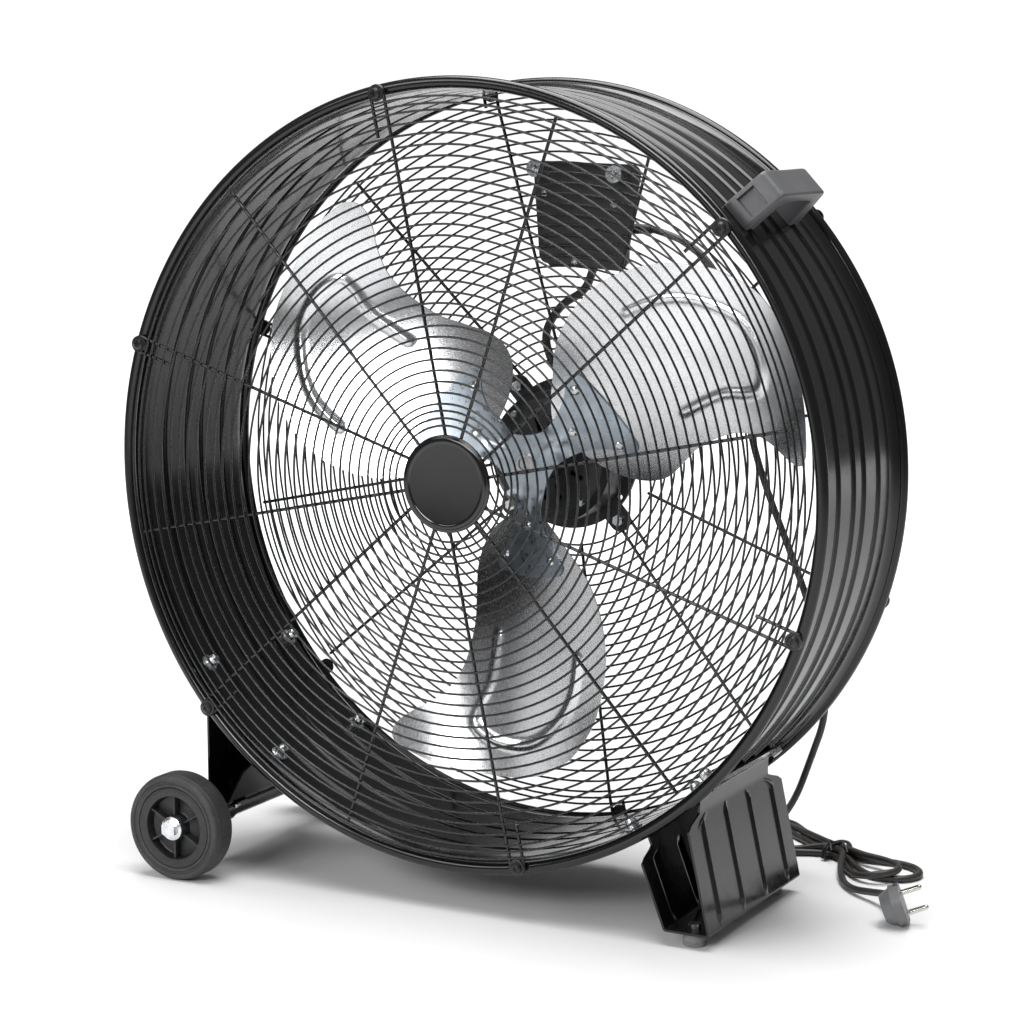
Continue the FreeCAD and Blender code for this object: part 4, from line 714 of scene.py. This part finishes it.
def make_wheel(side, body):
    tyre = Build()
    half = [
        (38.02, -126), (38.02, -137.0), (38.5, -138.5), (39.5, -139.0), (40.8, -139.3), (41.3, -139.0),
        (41.6, -138.4), (42.4, -138.2), (43.4, -138.5), (44.1, -139.6), (45.2, -140.0), (46.6, -139.9),
        (47.8, -139.3), (48.7, -138.2), (49.2, -136.8), (49.3, -135.2), (49.6, -134.5), (49.95, -134.1),
        (50.0, -133.4), (50.0, -126)]
    tyre.lathe(half + [(r, -252 - y) for r, y in half[-2:0:-1]], WHEEL_X, WHEEL_Z, 144)
    hub = Build()
    hub.lathe([
        (5.3, -112), (5.3, -139.6), (10.2, -139.6), (11.0, -139.3), (11.4, -138.6), (12.0, -131.0),
        (12.6, -129.2), (14.0, -128.5), (27.0, -128.5), (28.2, -129.2), (28.9, -131.0), (29.4, -137.6),
        (29.8, -138.3), (30.5, -138.6), (37.2, -138.6), (37.7, -138.4), (37.98, -137.6), (37.98, -114.4),
        (37.6, -113.5), (30.0, -113.4), (29.2, -114.0), (28.4, -124.2), (27.0, -125.0), (13.0, -125.0),
        (12.2, -124.0), (11.0, -112)],
        WHEEL_X, WHEEL_Z, 120)
    verts, faces = rounded_box((18.7, 8.6, 2.2), 0.5)
    for k in range(6):
        for y in (-132.3, -120.9):
            hub.add([turn_point((x + 20.2 + WHEEL_X, dy + y, z + WHEEL_Z), 30 + 60 * k, (WHEEL_X, WHEEL_Z))
                     for x, dy, z in verts], faces)
    if side > 0:
        mirror_y(tyre)
        mirror_y(hub)
    add_mesh(body + "_tread", tyre.verts, tyre.faces, "tyre_rubber", body, body + "_tyre", smooth=32)
    add_mesh(body + "_centre", hub.verts, hub.faces, "wheel_plastic", body, body + "_hub", smooth=32)


make_wheel(-1, "wheel_front")
make_wheel(1, "wheel_rear")


# ---------------------------------------------------------------- bent sheet legs
SEAT_R = DRUM_R + BEAD_RISE + 0.3


def at(radius, angle):
    return radius * math.cos(math.radians(angle)), radius * math.sin(math.radians(angle))


def folded(corners, radius=3.0, step=4.0):
    """Even points along a polyline in (x, z) whose corners are folded round."""
    pts = [Vector(c) for c in corners]
    line = [pts[0]]
    for a, b, c in zip(pts, pts[1:], pts[2:]):
        reach = min(radius, (b - a).length * 0.45, (c - b).length * 0.45)
        p, q = b + (a - b).normalized() * reach, b + (c - b).normalized() * reach
        line += [p * (1 - t) ** 2 + b * 2 * t * (1 - t) + q * t * t for t in (0.0, 0.2, 0.4, 0.6, 0.8, 1.0)]
    line.append(pts[-1])
    result = [line[0]]
    for a, b in zip(line, line[1:]):
        count = max(1, int((b - a).length / step))
        result += [a + (b - a) * (k + 1) / count for k in range(count)]
    return result


def bent_sheet(corners, hand, half_at, ribs, thick=2.0, columns=110):
    """Closed folded sheet: corners run along its outer face, hand is the side its thickness is on."""
    line = folded(corners)
    n = len(line)
    outer, inner = [], []
    for i, p in enumerate(line):
        way = (line[min(i + 1, n - 1)] - line[max(i - 1, 0)]).normalized()
        normal = Vector((way.y, -way.x)) * hand
        half = half_at(p)
        for k in range(columns + 1):
            y = -half + 2.0 * half * k / columns
            lift = sum(rib(p, y) for rib in ribs)
            q = p - normal * lift
            outer.append((q.x, y, q.y))
            q = q + normal * thick
            inner.append((q.x, y, q.y))
    w = columns + 1
    verts = outer + inner
    m = n * w
    faces = []
    for i in range(n - 1):
        for k in range(columns):
            a = i * w + k
            faces.append((a, a + 1, a + w + 1, a + w))
            faces.append((m + a, m + a + w, m + a + w + 1, m + a + 1))
        a, b = i * w, i * w + columns
        faces.append((a, a + w, m + a + w, m + a))
        faces.append((b, m + b, m + b + w, b + w))
    for k in range(columns):
        b = (n - 1) * w + k
        faces.append((k, m + k, m + k + 1, k + 1))
        faces.append((b, b + 1, m + b + 1, m + b))
    return verts, faces


def pressed_rib(foot, knee, start, end, row, rise=2.5, wide=6.5):
    """Rounded ridge between two shares of the way from foot to knee, at the row's y."""
    a, b = Vector(foot), Vector(knee)
    length = (b - a).length
    way = (b - a) / length

    def lift(p, y):
        s = (p - a).dot(way)
        if abs((p - a - way * s).length) > 1.0 or abs(y - row) >= wide:
            return 0.0
        past = max(start * length - s, s - end * length, 0.0)
        d = math.hypot(past, y - row)
        return rise * math.cos(math.pi / 2 * d / wide) ** 2 if d < wide else 0.0

    return lift


def make_right_leg():
    out_foot, out_knee, in_foot, in_knee = (252, -372), (230, -271), (209, -372), (183.5, -306)
    top = SEAT_R + 2.0
    flange_out = [at(top, a) for a in (-44.6, -45.5, -46.4, -47.3, -48.0)]
    flange_in = [at(top, a) for a in (-58.7, -59.5, -60.4, -61.3, -62.1)]
    corners = flange_out + [out_knee, out_foot, in_foot, in_knee] + flange_in

    def half_at(p):
        height = p.y
        knee = out_knee[1] if p.x > 205 else in_knee[1]
        t = min(max((height - knee + 9.0) / 8.0, 0.0), 1.0)
        return 102.0 - 27.0 * t

    ribs = [pressed_rib(out_foot, out_knee, 0.1, 0.91, row, wide=4.4) for row in (-75, -25, 25, 75)]
    ribs += [pressed_rib(in_foot, in_knee, 0.15, 0.82, row) for row in (-75, -25, 25, 75)]
    verts, faces = bent_sheet(corners, 1.0, half_at, ribs, columns=144)
    add_mesh("leg_sheet", verts, faces, "drum_paint", "base", "right_leg", smooth=42)


def make_left_bracket():
    out_foot, out_knee, in_foot, in_knee = (-270, -323.5), (-270, -228), (-249, -323.5), (-226, -283)
    top = SEAT_R + 2.0
    flange_out = [at(top, a) for a in (-146.1, -145.2, -144.3, -143.4, -142.7)]
    flange_in = [at(top, a) for a in (-129.1, -128.2, -127.3, -126.4, -125.7)]
    corners = flange_out + [out_knee, out_foot, in_foot, in_knee] + flange_in

    def half_at(p):
        knee = out_knee[1] if p.x < -247 else in_knee[1]
        t = min(max((p.y - knee + 6.0) / 6.0, 0.0), 1.0)
        return 85.0 - 10.0 * t

    ribs = [pressed_rib(out_foot, out_knee, 0.15, 0.88, row) for row in (-45, 0, 45)]
    verts, faces = bent_sheet(corners, -1.0, half_at, ribs, columns=80)
    add_mesh("bracket_sheet", verts, faces, "drum_paint", "base", "left_bracket", smooth=42)


make_right_leg()
make_left_bracket()


# ---------------------------------------------------------------- handle and feet
HANDLE_ANGLE, HANDLE_HALF, EDGE_R = 43.2, 14.25, 2.6


def handle_half():
    """(outer, inner) pairs of (y, radius) from one foot to the middle of the bar."""
    outer = [
        (-57, 340.2), (-57, 343), (-57, 346), (-56.3, 348.5), (-55.6, 350.8), (-55.4, 351.4), (-53, 359),
        (-50.6, 367.6), (-50.4, 368.3), (-48.6, 374), (-47.6, 377.6), (-46.3, 380), (-44, 381.5),
        (-40, 381.9), (-32, 382), (-20, 382), (-8, 382), (0, 382)]
    inner = [
        (-37, 340.2), (-36.6, 343), (-36, 346), (-35.3, 349), (-34.7, 351.6), (-34.6, 352), (-33, 358),
        (-31.6, 363.5), (-31.4, 364.2), (-30.6, 367.4), (-29.8, 369.2), (-28.4, 370.3), (-26, 370.9),
        (-22, 371), (-17, 371), (-11, 371), (-5, 371), (0, 371)]
    return outer, inner


def make_handle():
    outer, inner = handle_half()
    outer += [(-y, r) for y, r in outer[-2::-1]]
    inner += [(-y, r) for y, r in inner[-2::-1]]
    last = len(outer) - 1
    corner = [(EDGE_R * (1 - math.cos(a)), EDGE_R * (1 - math.sin(a)))
              for a in (math.pi / 2 * k / 5 for k in range(6))]
    frame_t = HANDLE_HALF - 4.4
    shape = Build()
    rings = []
    for i, (po, pi) in enumerate(zip(outer, inner)):
        po, pi = Vector(po), Vector(pi)
        length = (po - pi).length
        way = (po - pi) / length
        station = min(i, last - i)
        depth = 4.2 if 5 <= station <= 7 else 0.0
        section = [(length - b, -HANDLE_HALF + a) for a, b in corner]
        section += [(length, -frame_t - 0.3), (length - depth, -frame_t), (length - depth, 0.0),
                    (length - depth, frame_t), (length, frame_t + 0.3)]
        section += [(length - b, HANDLE_HALF - a) for a, b in reversed(corner)]
        section += [(b, HANDLE_HALF - a) for a, b in corner]
        section += [(0.0, frame_t), (0.0, 0.0), (0.0, -frame_t)]
        section += [(b, -HANDLE_HALF + a) for a, b in reversed(corner)]
        rings.append([(pi + way * s, t) for s, t in section])
    n = len(rings[0])
    verts = []
    for ring in rings:
        for q, t in ring:
            verts.append(turn_point((q.y, q.x, t), HANDLE_ANGLE))
    faces = [(i * n + k, i * n + (k + 1) % n, (i + 1) * n + (k + 1) % n, (i + 1) * n + k)
             for i in range(last) for k in range(n)]
    faces += [tuple(range(n))[::-1], tuple(range(last * n, last * n + n))]
    shape.add(verts, faces)
    add_mesh("carry_handle", shape.verts, shape.faces, "handle_plastic", "base", "handle", smooth=35)


def make_feet():
    shape = Build()
    for side in (-1, 1):
        start = len(shape.verts)
        shape.lathe([
            (3.2, 0.6), (8.6, 0.6), (8.9, 0.0), (9.6, 0.15), (9.95, 0.8), (9.9, 3.0), (9.3, 3.5),
            (9.3, 4.3), (9.7, 4.8), (9.2, 11.6), (8.8, 12.6), (8.2, 13.0), (3.2, 13.0)], seg=72)
        turned = [(230.5 + x, side * 85.0 - z, -385.0 + y) for x, y, z in shape.verts[start:]]
        shape.verts[start:] = turned
    add_mesh("foot_pads", shape.verts, shape.faces, "foot_rubber", "base", "feet", smooth=30)


make_handle()
make_feet()


# ---------------------------------------------------------------- floor, light and sky
def area_light(name, at, target, size, size_y, power):
    data = bpy.data.lights.new(name, "AREA")
    data.shape = "RECTANGLE"
    data.size = size
    data.size_y = size_y
    data.energy = power
    obj = bpy.data.objects.new(name, data)
    bpy.context.scene.collection.objects.link(obj)
    way = Vector(target) - Vector(at)
    obj.location = at
    obj.rotation_euler = way.to_track_quat("-Z", "Y").to_euler()


SWEEP_WAY = Vector((-0.4718, 0.8817, 0.0))
SWEEP_SIDE = Vector((0.8817, 0.4718, 0.0))
SWEEP_HALF = 4.8
SWEEP_NEAR, SWEEP_FULL = 0.6, 2.4
SKY_DIM, SKY_BRIGHT = 0.17, 1.06


def along(tree, vector, way):
    """How far a vector reaches along a fixed direction."""
    node = tree.nodes.new("ShaderNodeVectorMath")
    node.operation = "DOT_PRODUCT"
    tree.links.new(vector, node.inputs[0])
    node.inputs[1].default_value = way
    return node.outputs["Value"]


def times(tree, a, b):
    node = tree.nodes.new("ShaderNodeMath")
    node.operation = "MULTIPLY"
    tree.links.new(a, node.inputs[0])
    tree.links.new(b, node.inputs[1])
    return node.outputs["Value"]


def ramp(tree, value, start, end, low, high):
    """Smooth step from low to high as value goes from start to end."""
    node = tree.nodes.new("ShaderNodeMapRange")
    node.interpolation_type = "SMOOTHSTEP"
    node.inputs["From Min"].default_value = start
    node.inputs["From Max"].default_value = end
    node.inputs["To Min"].default_value = low
    node.inputs["To Max"].default_value = high
    tree.links.new(value, node.inputs["Value"])
    return node.outputs["Result"]


def make_floor():
    """Pale floor whose far part is a lit paper sweep behind the object."""
    n = Nodes("studio_floor", (0.86, 0.86, 0.86), 0.6)
    shade = n.mix(n.spread(n.noise(0.8, 3.0), 0.0, 1.0), (0.84, 0.84, 0.845), (0.88, 0.88, 0.88))
    n.link(shade, n.shader.inputs["Base Color"])
    depth = along(n.tree, n.coords, SWEEP_WAY)
    side = along(n.tree, n.coords, SWEEP_SIDE)
    lit = times(n.tree, ramp(n.tree, depth, SWEEP_NEAR, SWEEP_FULL, 0.0, 1.0),
                ramp(n.tree, times(n.tree, side, side), SWEEP_HALF ** 2, (0.85 * SWEEP_HALF) ** 2, 0.0, 1.0))
    n.set("Emission Color", (1.0, 1.0, 1.0, 1.0))
    n.link(lit, n.shader.inputs["Emission Strength"])
    mesh = bpy.data.meshes.new("floor")
    half = 14.0
    corners = [(-half, -half, 0), (half, -half, 0), (half, half, 0), (-half, half, 0)]
    mesh.from_pydata(corners, [], [(0, 1, 2, 3)])
    mesh.materials.append(n.mat)
    obj = bpy.data.objects.new("floor", mesh)
    bpy.context.scene.collection.objects.link(obj)


def make_sky():
    """Dim studio with one bright low wall behind the object."""
    world = bpy.data.worlds.new("studio")
    bpy.context.scene.world = world
    world.use_nodes = True
    tree = world.node_tree
    back = tree.nodes["Background"]
    coords = tree.nodes.new("ShaderNodeTexCoord").outputs["Generated"]
    facing = along(tree, coords, SWEEP_WAY)
    height = along(tree, coords, (0.0, 0.0, 1.0))
    wall = times(tree, ramp(tree, facing, 0.9, 0.96, 0.0, 1.0), ramp(tree, height, 0.22, 0.09, 0.0, 1.0))
    back.inputs["Color"].default_value = (1.0, 1.0, 1.0, 1.0)
    tree.links.new(ramp(tree, wall, 0.0, 1.0, SKY_DIM, SKY_BRIGHT), back.inputs["Strength"])


make_floor()
make_sky()
area_light("top", (0.1, 0.1, 2.7), (0.0, 0.0, 0.3), 2.6, 2.0, 125)
area_light("front", (-0.3, -3.1, 1.6), (-0.1, 0.0, 0.45), 1.3, 0.9, 50)
area_light("front_low", (-1.5, -2.2, 1.9), (0.0, -0.4, 0.1), 1.0, 1.0, 16)

view = bpy.context.scene.view_settings
view.view_transform = "Standard"
view.look = "None"
